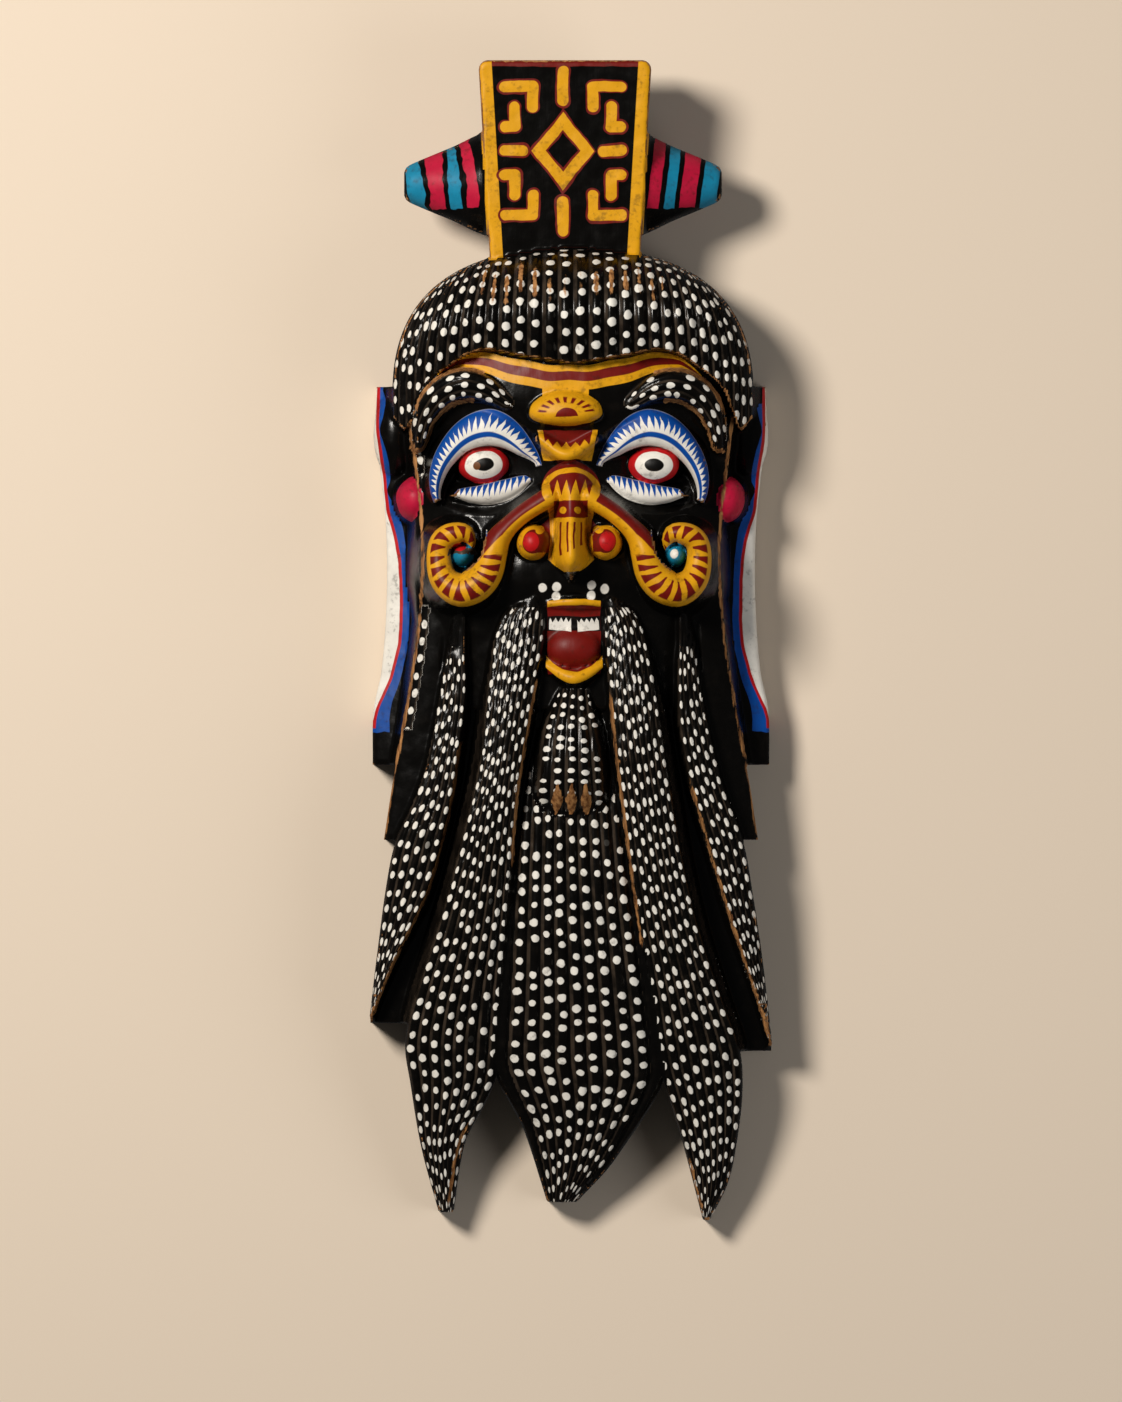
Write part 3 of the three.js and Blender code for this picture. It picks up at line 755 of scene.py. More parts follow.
class Paint:
    """A material being mixed, with the places on the mask and the usual noises at hand."""

    def __init__(self, name):
        self.material = bpy.data.materials.new(name)
        self.material.use_nodes = True
        self.tree = self.material.node_tree
        self.shader = self.tree.nodes["Principled BSDF"]
        self.shader.inputs["Specular IOR Level"].default_value = 0.22
        self.place = self.node("TexCoord", output="Object")
        wander = self.noise(70, 2, output="Color")
        self.shift = [self.part(wander, k) for k in range(3)]
        self.x = self.part(self.place, 0) * METRE + (self.shift[0] - 0.5) * 2.2
        self.y = self.part(self.place, 1) * METRE + (self.shift[1] - 0.5) * 2.2
        self.mottle = self.noise(160, 4)
        self.colour = LACQUER
        self.cover = None

    def node(self, kind, settings=None, inputs=None, output=0):
        made = self.tree.nodes.new("ShaderNode" + kind)
        for name, value in (settings or {}).items():
            setattr(made, name, value)
        for name, value in (inputs or {}).items():
            self.feed(made.inputs[name], value)
        return Flow(self, made.outputs[output])

    def feed(self, socket, value):
        if isinstance(value, Flow):
            self.tree.links.new(value.socket, socket)
        else:
            socket.default_value = value

    def part(self, vector, k):
        return self.node("SeparateXYZ", inputs={0: vector}, output=k)

    def noise(self, scale, detail, vector=None, output="Fac"):
        inputs = {"Vector": vector or self.place, "Scale": scale, "Detail": detail, "Roughness": 0.55}
        return self.node("TexNoise", inputs=inputs, output=output)

    def drawn(self, name):
        """The three numbers of a field that was drawn on the mesh."""
        field = self.node("Attribute", {"attribute_name": name}, output="Vector")
        return [self.part(field, k) for k in range(3)]

    def mixed(self, low, high, share):
        return self.node("Mix", {"data_type": "RGBA"}, {0: share, 6: low, 7: high}, output=2)

    def lay(self, colour, cover):
        """One more coat of paint where `cover` is 1."""
        self.colour = self.mixed(self.colour, colour, cover)
        self.cover = cover if self.cover is None else self.cover | cover

    def ellipse(self, x, y, cx, cy, rx, ry):
        """Distance inside an ellipse, about right near its edge."""
        away = ((x - cx) / rx) ** 2 + ((y - cy) / ry) ** 2
        return (1 - away.root()) * min(rx, ry)

    def finish(self, worn, convex, wood_share=1.0):
        """Wear through to the wood, a rubbed grey-brown on convex ridges that is also a painted sheen, and
        the surface of lacquer, paint and wood.
        """
        grain = self.node("Mapping", inputs={"Vector": self.place, "Scale": (9.0, 1.0, 9.0)})
        fibre = self.noise(60, 5, grain)
        scuffs = self.noise(420, 3)
        bare = (worn + (self.mottle - 0.5) * 1.1 + (fibre - 0.5) * 0.6).over(0.5, 0.25)
        chips = (convex * 0.5 + (scuffs - 0.5) * 1.3 + (self.shift[2] - 0.5) * 1.4).over(1.0, 0.12)
        bare = (bare | chips) * wood_share
        # Convex ridges turn a little grey-brown: partly rubbed lacquer, partly a painted sheen where light
        # would catch the ridges.
        rubbed_and_sheen = (convex * 0.35 + (self.mottle - 0.5) * 0.9).over(0.3, 0.6) * 0.1
        timber = self.mixed(WOOD_DARK, WOOD_LIGHT, fibre.over(0.5, 0.35))
        tone = self.mixed(self.colour, RUBBED_AND_SHEEN, rubbed_and_sheen * (1 - (self.cover if self.cover else 0.0)))
        shade = self.node("HueSaturation", inputs={"Value": 0.78 + self.mottle * 0.44, "Color": tone})
        painted = self.cover if self.cover else self.mottle * 0.0
        dirt = (scuffs - 0.5) * 1.4 + (self.shift[2] - 0.5) - convex * 0.15
        soiled = self.mixed(shade, GRIME, dirt.over(0.22, 0.4) * painted * 0.45)
        self.feed(self.shader.inputs["Base Color"], self.mixed(soiled, timber, bare))
        gloss = 0.14 + self.mottle * 0.18 + painted * 0.22
        self.feed(self.shader.inputs["Roughness"], gloss + (0.72 - gloss) * bare)
        height = self.mottle * 0.5 + scuffs * 0.25 + fibre * 0.35 - bare * 0.6
        bump = self.node("Bump", inputs={"Height": height, "Strength": 0.35, "Distance": 0.0006})
        self.feed(self.shader.inputs["Normal"], bump)
        return self.material


def tint(code):
    """A colour from its six-digit code."""
    parts = [int(code[i:i + 2], 16) / 255 for i in (0, 2, 4)]
    return (*(((c + 0.055) / 1.055) ** 2.4 if c > 0.04045 else c / 12.92 for c in parts), 1.0)


LACQUER = tint("080706")
# Grey-brown of rubbed lacquer, also laid as painted sheen and painted highlight on ridges.
RUBBED_AND_SHEEN = tint("453a30")
GRIME = tint("2a1c10")
WHITE = tint("e9e5dc")
YELLOW = tint("da9c12")
MAROON = tint("6e120c")
RED = tint("b8161a")
CRIMSON = tint("b9163a")
BLUE = tint("06479a")
SKY = tint("1680a4")
WOOD_DARK = tint("6a4020")
WOOD_LIGHT = tint("b88450")


def dotted_hair():
    """Black strands with white dabs of paint, one strand wide."""
    paint = Paint("dotted hair")
    lay_dots(paint)
    worn, convex, _ = paint.drawn("wear_and_sheen")
    return paint.finish(worn, convex)


def lay_dots(paint):
    lane, row, on = paint.drawn("strand")
    strand = lane.floor()
    # A thin grey-brown line along one side of each strand: partly a worn ridge edge, partly a painted
    # highlight on the side the light catches.
    rubbed_edge_and_highlight = (0.12 - abs(lane.fraction() - 0.13)).over(0, 0.12) & on.over(0.6, 0.2)
    streaks = paint.noise(90, 3).over(0.5, 0.3)
    paint.colour = paint.mixed(paint.colour, RUBBED_AND_SHEEN, rubbed_edge_and_highlight * (0.15 + streaks * 0.6))
    by_strand = {"W": strand * 0.31, "Scale": 1.0, "Detail": 1.0}
    start = paint.node("TexNoise", {"noise_dimensions": "1D"}, by_strand)
    place = row + start * 3
    number = place.floor()
    key = paint.node("CombineXYZ", inputs={0: strand, 1: number, 2: 3.0})
    chance = paint.node("TexWhiteNoise", {"noise_dimensions": "3D"}, {"Vector": key}, output="Color")
    sideways, along, size = (paint.part(chance, k) for k in range(3))
    across = (lane.fraction() - 0.5 - (sideways - 0.5) * 0.2) / (0.23 + size * 0.1)
    length = (place.fraction() - 0.5 - (along - 0.5) * 0.36) / (0.19 + size * 0.08)
    away = (across * across + length * length).root()
    blot = paint.noise(330, 1)
    cover = (1 - away + (blot - 0.5) * 0.7).over(0.05, 0.18) & on.over(0.6, 0.2) & size.over(0.05, 0.02)
    paint.lay(WHITE, cover)


def painted_face():
    paint = Paint("painted face")
    x, y = paint.x, paint.y
    side = abs(x - FACE_AXIS)
    band, lid, lid_turn = paint.drawn("upper_face")
    on_trunk, across, along = paint.drawn("cheek")
    lower, _, _ = paint.drawn("lower_lid")
    lay_dots(paint)

    # Forehead band, the jewel under it, and the small beast's mouth
    on_band = band.over(0, 0.03) & (1 - band).over(0, 0.03) & (66 - side).over(0)
    paint.lay(YELLOW, on_band)
    paint.lay(MAROON, on_band & band.over(0.27, 0.04) & (0.66 - band).over(0, 0.04))
    bun = paint.ellipse(x, y, JEWEL_X, JEWEL_Y, JEWEL_HALF, JEWEL_ABOVE)
    bun = bun & (paint.ellipse(x, y, JEWEL_X, JEWEL_Y, JEWEL_HALF, JEWEL_BELOW) | (y - JEWEL_Y))
    neck = (11.5 - abs(x - JEWEL_X)) & (y - 113) & (128 - y)
    paint.lay(YELLOW, (bun | neck).over(0))
    spread = (x - JEWEL_X) / JEWEL_HALF
    height = (y - JEWEL_Y + 1) / JEWEL_ABOVE
    ring = (spread * spread + height * height).root()
    turned = paint.node("Math", {"operation": "ARCTAN2"}, {0: spread, 1: height})
    on_ring = ring.over(0.55, 0.08) & (0.8 - ring).over(0, 0.08)
    dashes = (turned * 3.1 + 0.5).spikes().over(0.55, 0.2) & on_ring
    paint.lay(MAROON, dashes & height.over(0.1, 0.05))
    paint.lay(MAROON, (paint.ellipse(x, y, -2.2, 111, 5.6, 4.6) & (y - 111)).over(0))
    mouth_x = x + 1.75
    mouth_half = 12 + (y - 90) * 0.22
    in_mouth = (mouth_half - abs(mouth_x)) & (y - 89.5) & (104.3 - y)
    paint.lay(MAROON, in_mouth.over(0))
    teeth = 95.5 + 3.2 * (x / 4.6).spikes() + mouth_x * mouth_x * 0.012
    paint.lay(YELLOW, (in_mouth & ((teeth - y) | (abs(mouth_x) - mouth_half + 2.6))).over(0))

    # Cheek trunks: a yellow rim on the outer side, dark red rays on the scroll, and a pearl in its curl
    painted = on_trunk.over(0, 0.06)
    left_side = (FACE_AXIS - x).over(0)
    red_edge = across - left_side * 0.1 + ((along - 30) | 0.0) * 0.05
    paint.lay(YELLOW, painted)
    paint.lay(MAROON, painted & (-red_edge).over(0, 0.1) & (46 - along).over(0, 2))
    rays = ((along + across * 1.5) / 5.0 + (paint.shift[2] - 0.5) * 0.5).spikes()
    ray = (rays + across * 0.4).over(0.58, 0.16) & across.over(-0.5, 0.1) & (0.7 - across).over(0, 0.08)
    paint.lay(MAROON, painted & ray & along.over(40, 3) & (124 - along).over(0, 3))
    pearl = paint.ellipse(side, y, PEARL.x, PEARL.y, PEARL.rx, PEARL.ry)
    paint.lay(SKY, pearl.over(0))
    paint.lay(WHITE, paint.ellipse(x, y, FACE_AXIS + PEARL.x - 0.6, PEARL.y + 0.4, 2.1, 2.5).over(0, 0.6))
    smudge = (y - 42.5 + (paint.mottle - 0.5) * 5).over(0) & (45.5 - y).over(0)
    paint.lay(RUBBED_AND_SHEEN, left_side & pearl.over(-1.5) & smudge)
    paint.lay(RED, paint.ellipse(x, y, -55.5, 46.2, 3.4, 2.0).over(0))

    # Nostrils
    nostril = paint.ellipse(side, y, NOSTRIL.x, NOSTRIL.y, NOSTRIL.rx, NOSTRIL.ry)
    paint.lay(YELLOW, nostril.over(-0.2))
    wing = (side - 8.6) & (16.2 - side) & (y - 43.5) & (62.5 - y - (side - 8) * 0.9)
    paint.lay(MAROON, (wing | paint.ellipse(side, y, NOSTRIL.x, 49, 5.2, 6.0)).over(0))
    paint.lay(YELLOW, paint.ellipse(side, y, 14.6, 54.8, 2.4, 2.1).over(0))
    paint.lay(RED, paint.ellipse(side, y, 19, 49, 4.0, 4.8).over(0))

    # Nose, from the bulb with its flames down to the striped tip
    nose_x = x - FACE_AXIS - 1
    arch = paint.ellipse(nose_x, y, 0, 74, 14.8, 15)
    paint.lay(MAROON, (arch & (y - 74)).over(0))
    paint.lay(YELLOW, paint.ellipse(nose_x, y, 0, 75, 14.6, 10.5).over(0))
    flames = 72.0 + 7.5 * (nose_x / 4.5).spikes()
    paint.lay(MAROON, (paint.ellipse(nose_x, y, 0, 75.5, 11.2, 7.6) & (y - flames)).over(0, 0.4))
    column = 10.2 + (y - 52) * (y - 52) * 0.008 - abs(nose_x)
    column = column & (y - 33.5 - nose_x * nose_x * 0.05) & (72 - y)
    paint.lay(YELLOW, column.over(0))
    paint.lay(MAROON, ((8.4 - abs(nose_x)) & (y - 60.8) & (69.5 - y)).over(0))
    paint.lay(YELLOW, (1.7 - ((abs(nose_x + 0.3) - 3.6) ** 2 + (y - 64.6) ** 2).root()).over(0))
    stripes = (nose_x / 3.4).spikes().over(0.72, 0.16)
    paint.lay(MAROON, ((6.4 - abs(nose_x)) & (y - 44 - (nose_x + 1) * 0.5) & (58.5 - y)).over(0) & stripes)
    for dab_x, dab_y in ((-14, 26), (-7, 26.5), (-7, 21.8), (10, 27), (10, 22), (16.5, 25)):
        paint.lay(WHITE, paint.ellipse(x, y, dab_x, dab_y, 2.1, 2.3).over(0, 0.5))

    # Lids and eyes
    on_lid = lid.over(0, 0.04) & (1 - lid).over(0, 0.04)
    on_lid = on_lid & (lid_turn - LID_ENDS[0]).over(0, 2) & (LID_ENDS[1] - lid_turn).over(0, 2)
    comb = (lid_turn / 6.4 + lid * 1.2 + (paint.shift[2] - 0.5) * 2).spikes()
    lashes = 0.46 + (0.16 + paint.mottle * 0.44) * comb
    paint.lay(WHITE, on_lid)
    paint.lay(BLUE, on_lid & (lid - lashes).over(0, 0.06))
    paint.lay(BLUE, on_lid & lid.over(0.23, 0.04) & (0.29 + lid_turn * 0.001 - lid).over(0, 0.04))
    on_lower = lower.over(0, 0.06) & (1 - lower).over(0, 0.06)
    on_lower = on_lower & (side - LOWER_LID_ENDS[0]).over(0) & (LOWER_LID_ENDS[1] - side).over(0)
    paint.lay(WHITE, on_lower)
    lower_lashes = 0.35 + 0.7 * (side / 2.9 + lower * 0.6 + (paint.shift[2] - 0.5)).spikes()
    paint.lay(BLUE, on_lower & (lower - lower_lashes).over(0, 0.1))
    for colour, rx, ry in ((RED, 12.5, 9.3), (WHITE, 9.5, 7.0), (LACQUER, 5.0, 3.3)):
        paint.lay(colour, paint.ellipse(side, y, 42.4, 87.3, rx, ry).over(0))
    paint.lay(WOOD_DARK, paint.ellipse(x, y, -47.3, 86.8, 1.9, 2.2).over(0))

    # Mouth
    lip_x = x - 1.5
    paint.lay(MAROON, ((13.2 - abs(lip_x)) & (y + 17) & (19 - y)).over(0))
    tooth = (5.4 - abs(abs(lip_x) - 7)) & (y - 4.4 - (abs(lip_x) - 5) * 0.12) & (11.4 - y)
    drips = 11.2 - 4.5 * (x / 2.6).spikes() * paint.shift[2]
    paint.lay(LACQUER, ((13.2 - abs(lip_x)) & (y - 4.5) & (12 - y)).over(0))
    paint.lay(WHITE, (tooth & (drips - y)).over(0))
    paint.lay(YELLOW, ((13 - abs(lip_x)) & (1.5 - abs(y - 19 + lip_x * lip_x * 0.006))).over(0))
    paint.lay(YELLOW, ((14 - abs(lip_x)) & (2.8 - abs(y + 18.5 - lip_x * lip_x * 0.04))).over(0))
    worn, convex, _ = paint.drawn("wear_and_sheen")
    return paint.finish(worn, convex)


def painted_sides():
    """Panels, ears and lappets: black, with stripes of blue, red and white along the outer edge."""
    paint = Paint("painted sides")
    x, y = paint.x, paint.y
    from_edge, blue, on_lappet = paint.drawn("lappet")
    worn, convex, lobe = paint.drawn("wear_and_sheen")
    edge = from_edge + (paint.shift[0] - 0.5) * 1.2
    here = on_lappet.over(0.5, 0.1) & (y + 46 + (paint.shift[1] - 0.5) * 6).over(0)
    paint.lay(BLUE, here & (1.6 + blue - edge).over(0))
    paint.lay(RED, here & (1.6 - edge).over(0) & (y + 44).over(0))
    paint.lay(WHITE, here & (-edge).over(0) & (y + 40).over(0))
    lay_dots(paint)
    on_lobe = paint.ellipse(abs(x), y, LOBE.x, LOBE.y, LOBE.rx + 1, LOBE.ry + 1)
    paint.lay(CRIMSON, lobe.over(0.3, 0.2) & on_lobe.over(0))
    return paint.finish(worn, convex)


FRET_X, FRET_Y, FRET_HALF = -4.0, 244.0, 2.7
# Strokes of one quarter of the fret, each from its lower to its upper end, out and up from the middle.
FRET_STROKES = ((15, 32, 29, 32), (15, 22, 15, 32), (24, 12, 29, 12),
                (24, 12, 24, 22), (0, 25, 0, 40), (20, 0, 29, 0))


def painted_crown():
    """The crown board with its yellow borders and fret, and the striped hairpin."""
    paint = Paint("painted crown")
    x, y = paint.x, paint.y
    board, from_side, front = paint.drawn("crown")
    along = abs(x - PIN_AXIS) + (PIN_Y - y) * 0.12
    stripes = ((78.0, 70.0, SKY), (67.5, 59.5, CRIMSON), (57.0, 51.8, SKY), (49.2, 43.5, CRIMSON))
    on_pin = (1 - board).over(0.5, 0.1) & (y - 215.5 + (paint.shift[2] - 0.5) * 6).over(0)
    for outer, inner, colour in stripes:
        wave = (paint.shift[0] - 0.5) * 4
        paint.lay(colour, on_pin & (outer - along + wave).over(0) & (along - wave - inner).over(0))
    on_board = board.over(0.5, 0.1) & (from_side + 0.8).over(0)
    on_front = on_board & front.over(0.5, 0.2)
    paint.lay(MAROON, on_board & (1 - on_front))
    paint.lay(MAROON, on_front & (y - 286).over(0))
    paint.lay(YELLOW, on_front & (6.6 - from_side).over(0))

    # A made-up ornament of a lozenge ring, stepped brackets and short dashes, the same in all four quarters
    out, up = abs(x - FRET_X), abs(y - FRET_Y)
    lozenge = abs((out / 12 + up / 15 - 1) * 9.4)
    away = lozenge
    for low_x, low_y, high_x, high_y in FRET_STROKES:
        past_x = (abs(out - (low_x + high_x) / 2) - (high_x - low_x) / 2) | 0.0
        past_y = (abs(up - (low_y + high_y) / 2) - (high_y - low_y) / 2) | 0.0
        away = away & (past_x * past_x + past_y * past_y).root()
    paint.lay(MAROON, on_front & (FRET_HALF + paint.shift[2] * 2.4 - 0.2 - away).over(0))
    paint.lay(YELLOW, on_front & (FRET_HALF - away).over(0))
    worn, convex, _ = paint.drawn("wear_and_sheen")
    return paint.finish(worn, convex)


def bare_wood():
    """The raw hollowed back, darkened by handling."""
    paint = Paint("bare wood")
    grain = paint.node("Mapping", inputs={"Vector": paint.place, "Scale": (9.0, 1.0, 9.0)})
    fibre = paint.noise(50, 6, grain)
    tone = paint.mixed(WOOD_DARK, WOOD_LIGHT, fibre.over(0.5, 0.5))
    soot = paint.noise(14, 4).over(0.52, 0.3)
    paint.feed(paint.shader.inputs["Base Color"], paint.mixed(tone, tint("2e1c10"), soot * 0.6))
    paint.feed(paint.shader.inputs["Roughness"], 0.6 + fibre * 0.25)
    bump = paint.node("Bump", inputs={"Height": fibre, "Strength": 0.5, "Distance": 0.0008})
    paint.feed(paint.shader.inputs["Normal"], bump)
    return paint.material


# Fields that are drawn on the mesh for the painter to follow


BAND_TOP = through((0, 137), (10, 136.8), (20, 139), (30, 140.5), (40, 143),
                   (47, 143), (55, 141), (62, 136), (67, 131))
BAND_WIDTH = through((0, 11.5), (20, 12.5), (30, 12), (40, 10.5), (50, 8), (57, 5), (64, 3), (67, 1))
WHITE_STRIPE = through((124, 0.2), (85, 0.8), (65, 0.8), (55, 3), (40, 5.5), (20, 6.5),
                       (0, 7), (-15, 5), (-25, 3.5), (-35, 1), (-40, 0))
BLUE_STRIPE = through((125, 1.5), (120, 3), (112, 2), (105, 0.3), (100, 1.2), (90, 2.4), (80, 2), (75, 0),
                      (70, 1.5), (64, 4), (40, 3.2), (0, 3.5), (-25, 4.5), (-45, 7), (-58, 5))
BROW_SPACING = 8.5
HAIR_WEAR_Y, HAIR_WEAR_HALF = 177, 46
GOATEE_TIP_Y, GOATEE_TIP_HALF = -80, 12


def owned(owner, *names):
    """Where one of the named forms lies in front."""
    return np.isin(owner, [NAMES.index(name) for name in names])


def face_fields(x, y):
    """Band, lids and cheek trunks as smooth fields over the face."""
    side = np.abs(x - FACE_AXIS)
    band = (BAND_TOP(side) - y) / BAND_WIDTH(side)
    lid, turn, _ = upper_lid(side, y)
    away, along, _, half, _ = TRUNK.trace(side, y)
    return {
        "upper_face": (band, lid, turn),
        "cheek": (1 - np.abs(away) / half, -away / half, along),
        "lower_lid": (lower_lid(side, y)[0], np.zeros_like(x), np.zeros_like(x)),
    }


def worn_edges(x, y, lane, owner):
    """How far the lacquer is worn off, along the free edges of locks and panels and on hair ridges."""
    def line(edge, low, high, width=1.0, strength=0.82):
        along = rise(y, low - 6, low + 6) * (1 - rise(y, high - 6, high + 6))
        return strength * along * np.exp(-((x - edge(y)) / width) ** 2)

    panel_left = mirrored(PANEL)
    lines = [
        line(LEFT_LONG.right, -115, -20), line(RIGHT_LONG.left, -155, -25),
        line(LEFT_OUTER.right, -189, -50), line(RIGHT_OUTER.left, -202, -70),
        line(PANEL.right, -100, 112, 1.0, 0.8), line(panel_left.left, -100, 112, 1.0, 0.8),
        line(lambda level: LEFT_LONG.right(level) - 3, -285, -240, 1.0, 0.8),
        line(lambda level: RIGHT_LONG.left(level) + 1, -288, -260, 1.0, 0.8),
    ]
    _, brow_along, brow_share = brow_strands(np.abs(x - FACE_AXIS), y)
    brow_line = np.exp(-((np.abs(brow_share) - 1.05) / 0.18) ** 2) * (brow_along < 48)
    lines.append(np.where(owned(owner, "face"), 0.9 * brow_line, 0))
    worn = np.max(lines, axis=0)
    hair = owned(owner, "hair")
    crest = 1 - from_crest(lane)
    patchy = 0.5 + 0.5 * unevenness(np.floor(lane) * 7.3, y, 14, 5)
    middle = HAIR_WEAR_Y + 5 * unevenness(np.floor(lane) * 11.7, 0 * y, 8, 6)
    patch = (1 - rise(np.abs(y - middle), 4, 12)) * rise(crest, 0.4, 0.9) * (np.abs(x) < HAIR_WEAR_HALF)
    worn = np.where(hair, np.maximum(worn, patch * (0.35 + 0.8 * patchy)), worn)
    goatee = owned(owner, "goatee") & (np.abs(lane - GOATEE.strands / 2) < 1.5)
    tips = rise(crest - np.abs(y - GOATEE_TIP_Y) / GOATEE_TIP_HALF, 0.0, 0.4)
    return np.where(goatee, np.maximum(worn, tips), worn)


SLOTS = {
    "dotted": ("hair", "left long", "right long", "left outer", "right outer", "middle", "goatee"),
    "face": ("face",),
    "sides": ("left wing", "right wing", "left panel", "right panel", "left lappet", "right lappet",
              "left ear", "right ear", "left lobe", "right lobe"),
    "crown": ("crown", "hairpin"),
}
CROWN_SLOT = list(SLOTS).index("crown")
LANE_KEY = 40
LOCK_SPACING, GOATEE_SPACING, HAIR_SPACING, PANEL_SPACING = 8.3, 5.4, 9.6, 9.0
PANEL_LANE = 5.0
DOTS_TOP, OUTER_DOTS_TOP = 17, -3
PANEL_DOTS = (-45, 105)
BROW_DOTS = (1, 64)
LAPPET_PAINT_FOOT = -58
CREST_STEP, CREST_LIMIT = 1.4, 3


def draw_fields(x, y, owner, lane):
    """Every field at the front's vertices, by name."""
    steps = ((CREST_STEP, 0), (-CREST_STEP, 0), (0, CREST_STEP), (0, -CREST_STEP))
    around = [carving(x + dx, y + dy)[:2] for dx, dy in steps]
    convex = carving(x, y)[0] - np.mean([height for height, _ in around], axis=0)
    convex = np.clip(convex, -CREST_LIMIT, CREST_LIMIT)
    settled = np.all([owner == other for _, other in around], axis=0)
    hair = owned(owner, "hair")
    row = -y / np.where(owned(owner, "goatee"), GOATEE_SPACING, LOCK_SPACING)
    row[hair] = combed_length(x[hair], y[hair]) / HAIR_SPACING
    dotted = owned(owner, *SLOTS["dotted"])
    outer = owned(owner, "left outer", "right outer")
    started = hair | (y < np.where(outer, OUTER_DOTS_TOP, DOTS_TOP))
    covered = np.abs(lane - MIDDLE.strands / 2) >= MIDDLE.strands / 2 - 1
    started &= ~(owned(owner, "middle") & covered)
    brow_lane, brow_along, brow_share = brow_strands(np.abs(x - FACE_AXIS), y)
    brow_lane = brow_lane + BROW_LANES * (x > FACE_AXIS)
    on_brow = (np.abs(brow_share) < 1) & (brow_along > BROW_DOTS[0]) & (brow_along < BROW_DOTS[1])
    face_here = owned(owner, "face")
    from_panel = -x - PANEL.right(y) + PANEL_LANE / 2
    on_panel = owned(owner, "left panel") & (np.abs(from_panel) < PANEL_LANE / 2)
    on_panel &= (y > PANEL_DOTS[0]) & (y < PANEL_DOTS[1])
    on = np.where(face_here, on_brow, on_panel | (dotted & settled & started))
    lane_key = np.where(face_here, brow_lane + LANE_KEY * len(NAMES), lane + LANE_KEY * owner)
    lane_key = np.where(on_panel, 0.5 + from_panel / PANEL_LANE, lane_key)
    row = np.where(on_panel, y / PANEL_SPACING, row)
    lobe = owned(owner, "left lobe", "right lobe")
    side = np.abs(x)
    fields = face_fields(x, y)
    lappet = owned(owner, "left lappet", "right lappet", "left ear", "right ear") & (y > LAPPET_PAINT_FOOT)
    board = owned(owner, "crown")
    half = between(CROWN_HALF_FOOT, CROWN_HALF_TOP, (y - CROWN_FOOT) / (CROWN_TOP - CROWN_FOOT))
    fields.update({
        "strand": (lane_key, np.where(face_here, brow_along / BROW_SPACING, row), on),
        # Wear lines, convexity (for chips, grime and the painted sheen) and the lobe mask.
        "wear_and_sheen": (worn_edges(x, y, lane, owner), convex, lobe),
        "lappet": (LAPPET.right(y) - side - WHITE_STRIPE(y), BLUE_STRIPE(y), lappet),
        "crown": (board, half - np.abs(x - CROWN_AXIS), np.ones_like(x)),
    })
    return fields


points, front_faces, wall_faces, back_faces, owner, lane, above, back_owner = build_mask()
count = len(owner)
rim_count = (len(above) - count) // WALL_ROWS
fields = draw_fields(points[:count, 0], points[:count, 1], owner, lane)
mesh = bpy.data.meshes.new("mask")
mesh.from_pydata(points / METRE, [], front_faces + wall_faces + back_faces)
mesh.polygons.foreach_set("use_smooth", np.ones(len(mesh.polygons), bool))
for material in (dotted_hair(), painted_face(), painted_sides(), painted_crown(), bare_wood()):
    mesh.materials.append(material)
slot_of = np.array([next(i for i, names in enumerate(SLOTS.values()) if name in names) for name in NAMES])
kinds = [int(slot_of[owner[face]].max()) for face in front_faces]
kinds += [int(slot_of[owner[above[face[0]]]]) for face in wall_faces]
behind = np.concatenate([owner[above], back_owner])
painted_behind = owned(behind, *SLOTS["crown"])
kinds += [CROWN_SLOT if painted_behind[face].all() else len(SLOTS) for face in back_faces]
mesh.polygons.foreach_set("material_index", kinds)
for name, parts in fields.items():
    layer = mesh.attributes.new(name, "FLOAT_VECTOR", "POINT")
    values = np.zeros((len(points), 3), np.float32)
    values[:len(above)] = np.stack(parts, axis=1)[above]
    if name in ("strand", "crown"):
        values[count:, 2] = 0
    if name == "wear_and_sheen":
        values[count + rim_count:, :2] = 0
    layer.data.foreach_set("vector", values.ravel())
mesh.update()
mesh.validate()
mask = bpy.data.objects.new("carved_mask", mesh)
bpy.context.scene.collection.objects.link(mask)
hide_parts("mask")
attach(mask, "root")


# Floor, lights and camera


def plane(name, size, material):
    half = size / 2
    sheet = bpy.data.meshes.new(name)
    corners = [(-half, -half, 0), (half, -half, 0), (half, half, 0), (-half, half, 0)]
    sheet.from_pydata(corners, [], [(0, 1, 2, 3)])
    sheet.materials.append(material)
    made = bpy.data.objects.new(name, sheet)
    bpy.context.scene.collection.objects.link(made)
    return made


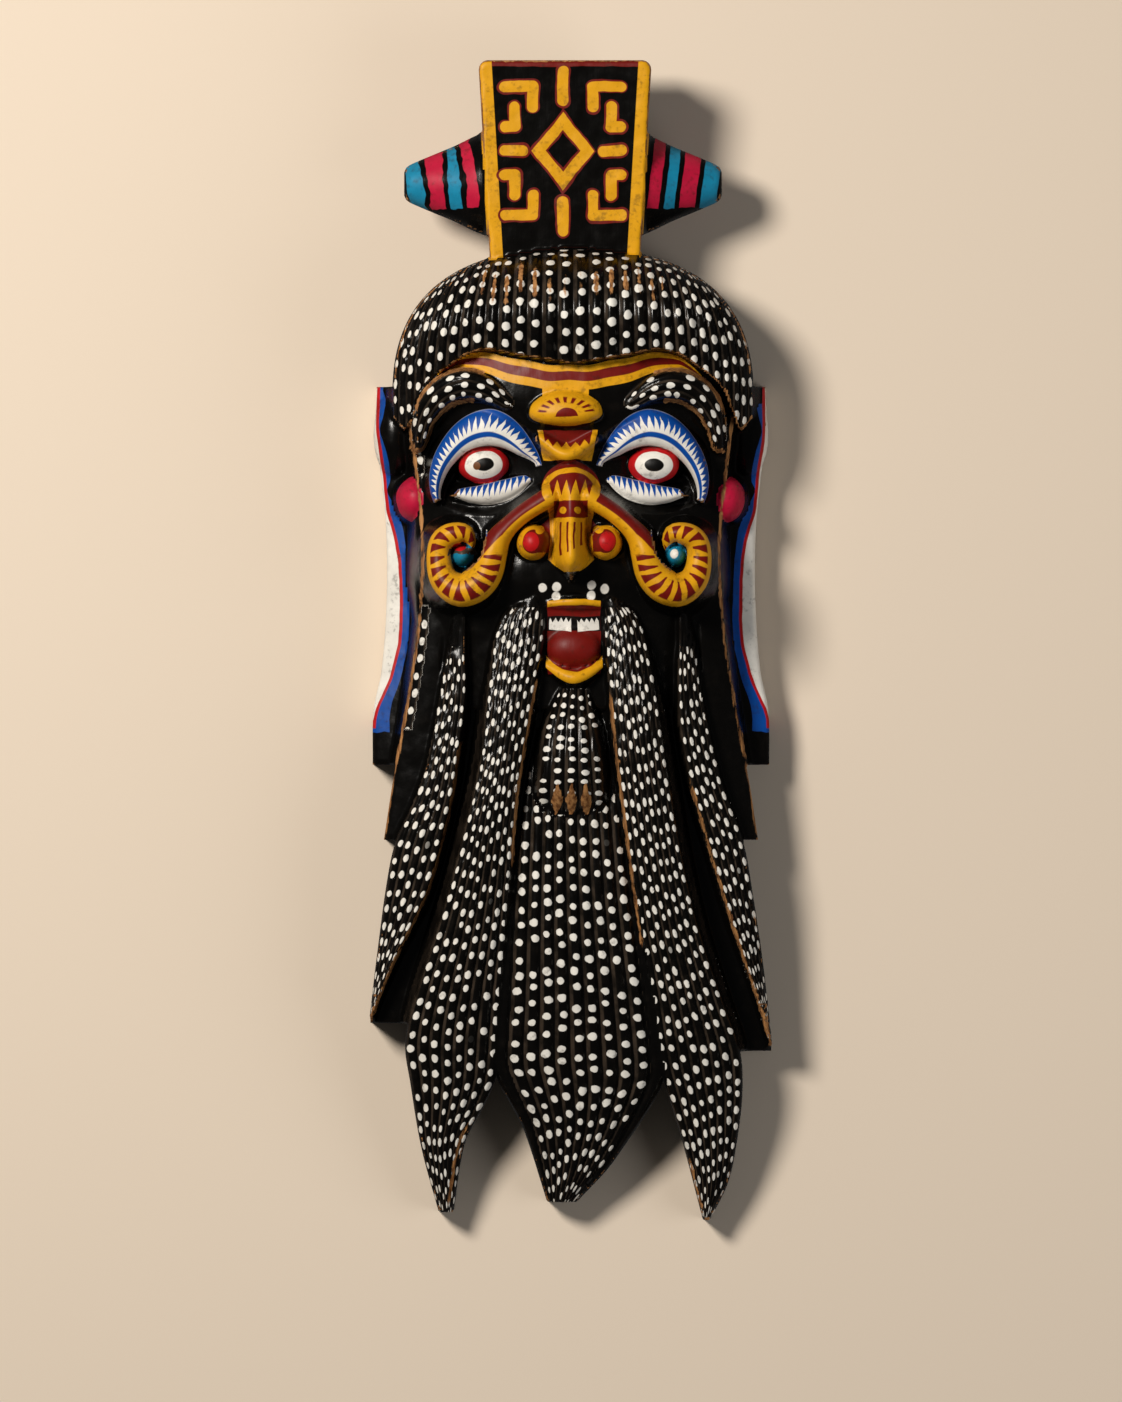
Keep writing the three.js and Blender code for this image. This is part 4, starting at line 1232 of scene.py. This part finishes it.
def lamp(name, place, target, size, power, colour):
    light = bpy.data.lights.new(name, "AREA")
    light.shape = "DISK"
    light.size = size
    light.energy = power
    light.color = colour
    made = bpy.data.objects.new(name, light)
    made.location = place
    made.rotation_euler = (Vector(target) - Vector(place)).to_track_quat("-Z", "Y").to_euler()
    bpy.context.scene.collection.objects.link(made)
    return made


# Metres, watts and colours of the studio
FLOOR_SIZE, FLOOR_COLOUR = 8.0, (0.78, 0.66, 0.53, 1)
KEY_PLACE, KEY_SIZE, KEY_WATTS, KEY_COLOUR = (-1.0, 0.75, 1.75), 0.55, 46, (1.0, 0.95, 0.88)
FILL_PLACE, FILL_SIZE, FILL_WATTS, FILL_COLOUR = (1.6, -0.5, 1.2), 1.4, 10, (0.95, 0.97, 1.0)
WORLD_COLOUR, WORLD_STRENGTH = (1.0, 0.98, 0.95, 1), 0.05
MIDDLE_OF_FLOOR = (0, 0, 0)

floor_paint = bpy.data.materials.new("pale floor")
floor_paint.use_nodes = True
floor_shader = floor_paint.node_tree.nodes["Principled BSDF"]
floor_shader.inputs["Base Color"].default_value = FLOOR_COLOUR
floor_shader.inputs["Roughness"].default_value = 0.9
floor = plane("floor", FLOOR_SIZE, floor_paint)
floor.visible_glossy = False

LOOK_AT = Vector((-0.005, -0.0305, 0.05))
CAMERA_HEIGHT = 8.0
VIEW_HEIGHT = 0.701
SENSOR = 36.0
lamp("key", KEY_PLACE, MIDDLE_OF_FLOOR, KEY_SIZE, KEY_WATTS, KEY_COLOUR)
fill = lamp("fill", FILL_PLACE, MIDDLE_OF_FLOOR, FILL_SIZE, FILL_WATTS, FILL_COLOUR)
fill.visible_glossy = False
world = bpy.data.worlds.new("studio")
bpy.context.scene.world = world
world.use_nodes = True
background = world.node_tree.nodes["Background"]
background.inputs["Color"].default_value = WORLD_COLOUR
background.inputs["Strength"].default_value = WORLD_STRENGTH

camera_lens = bpy.data.cameras.new("camera")
camera_lens.sensor_width = SENSOR
camera_lens.lens = SENSOR * CAMERA_HEIGHT / VIEW_HEIGHT
camera = bpy.data.objects.new("camera", camera_lens)
camera.location = LOOK_AT + Vector((0, 0, CAMERA_HEIGHT))
bpy.context.scene.collection.objects.link(camera)
bpy.context.scene.camera = camera
bpy.context.scene.view_settings.view_transform = "Standard"
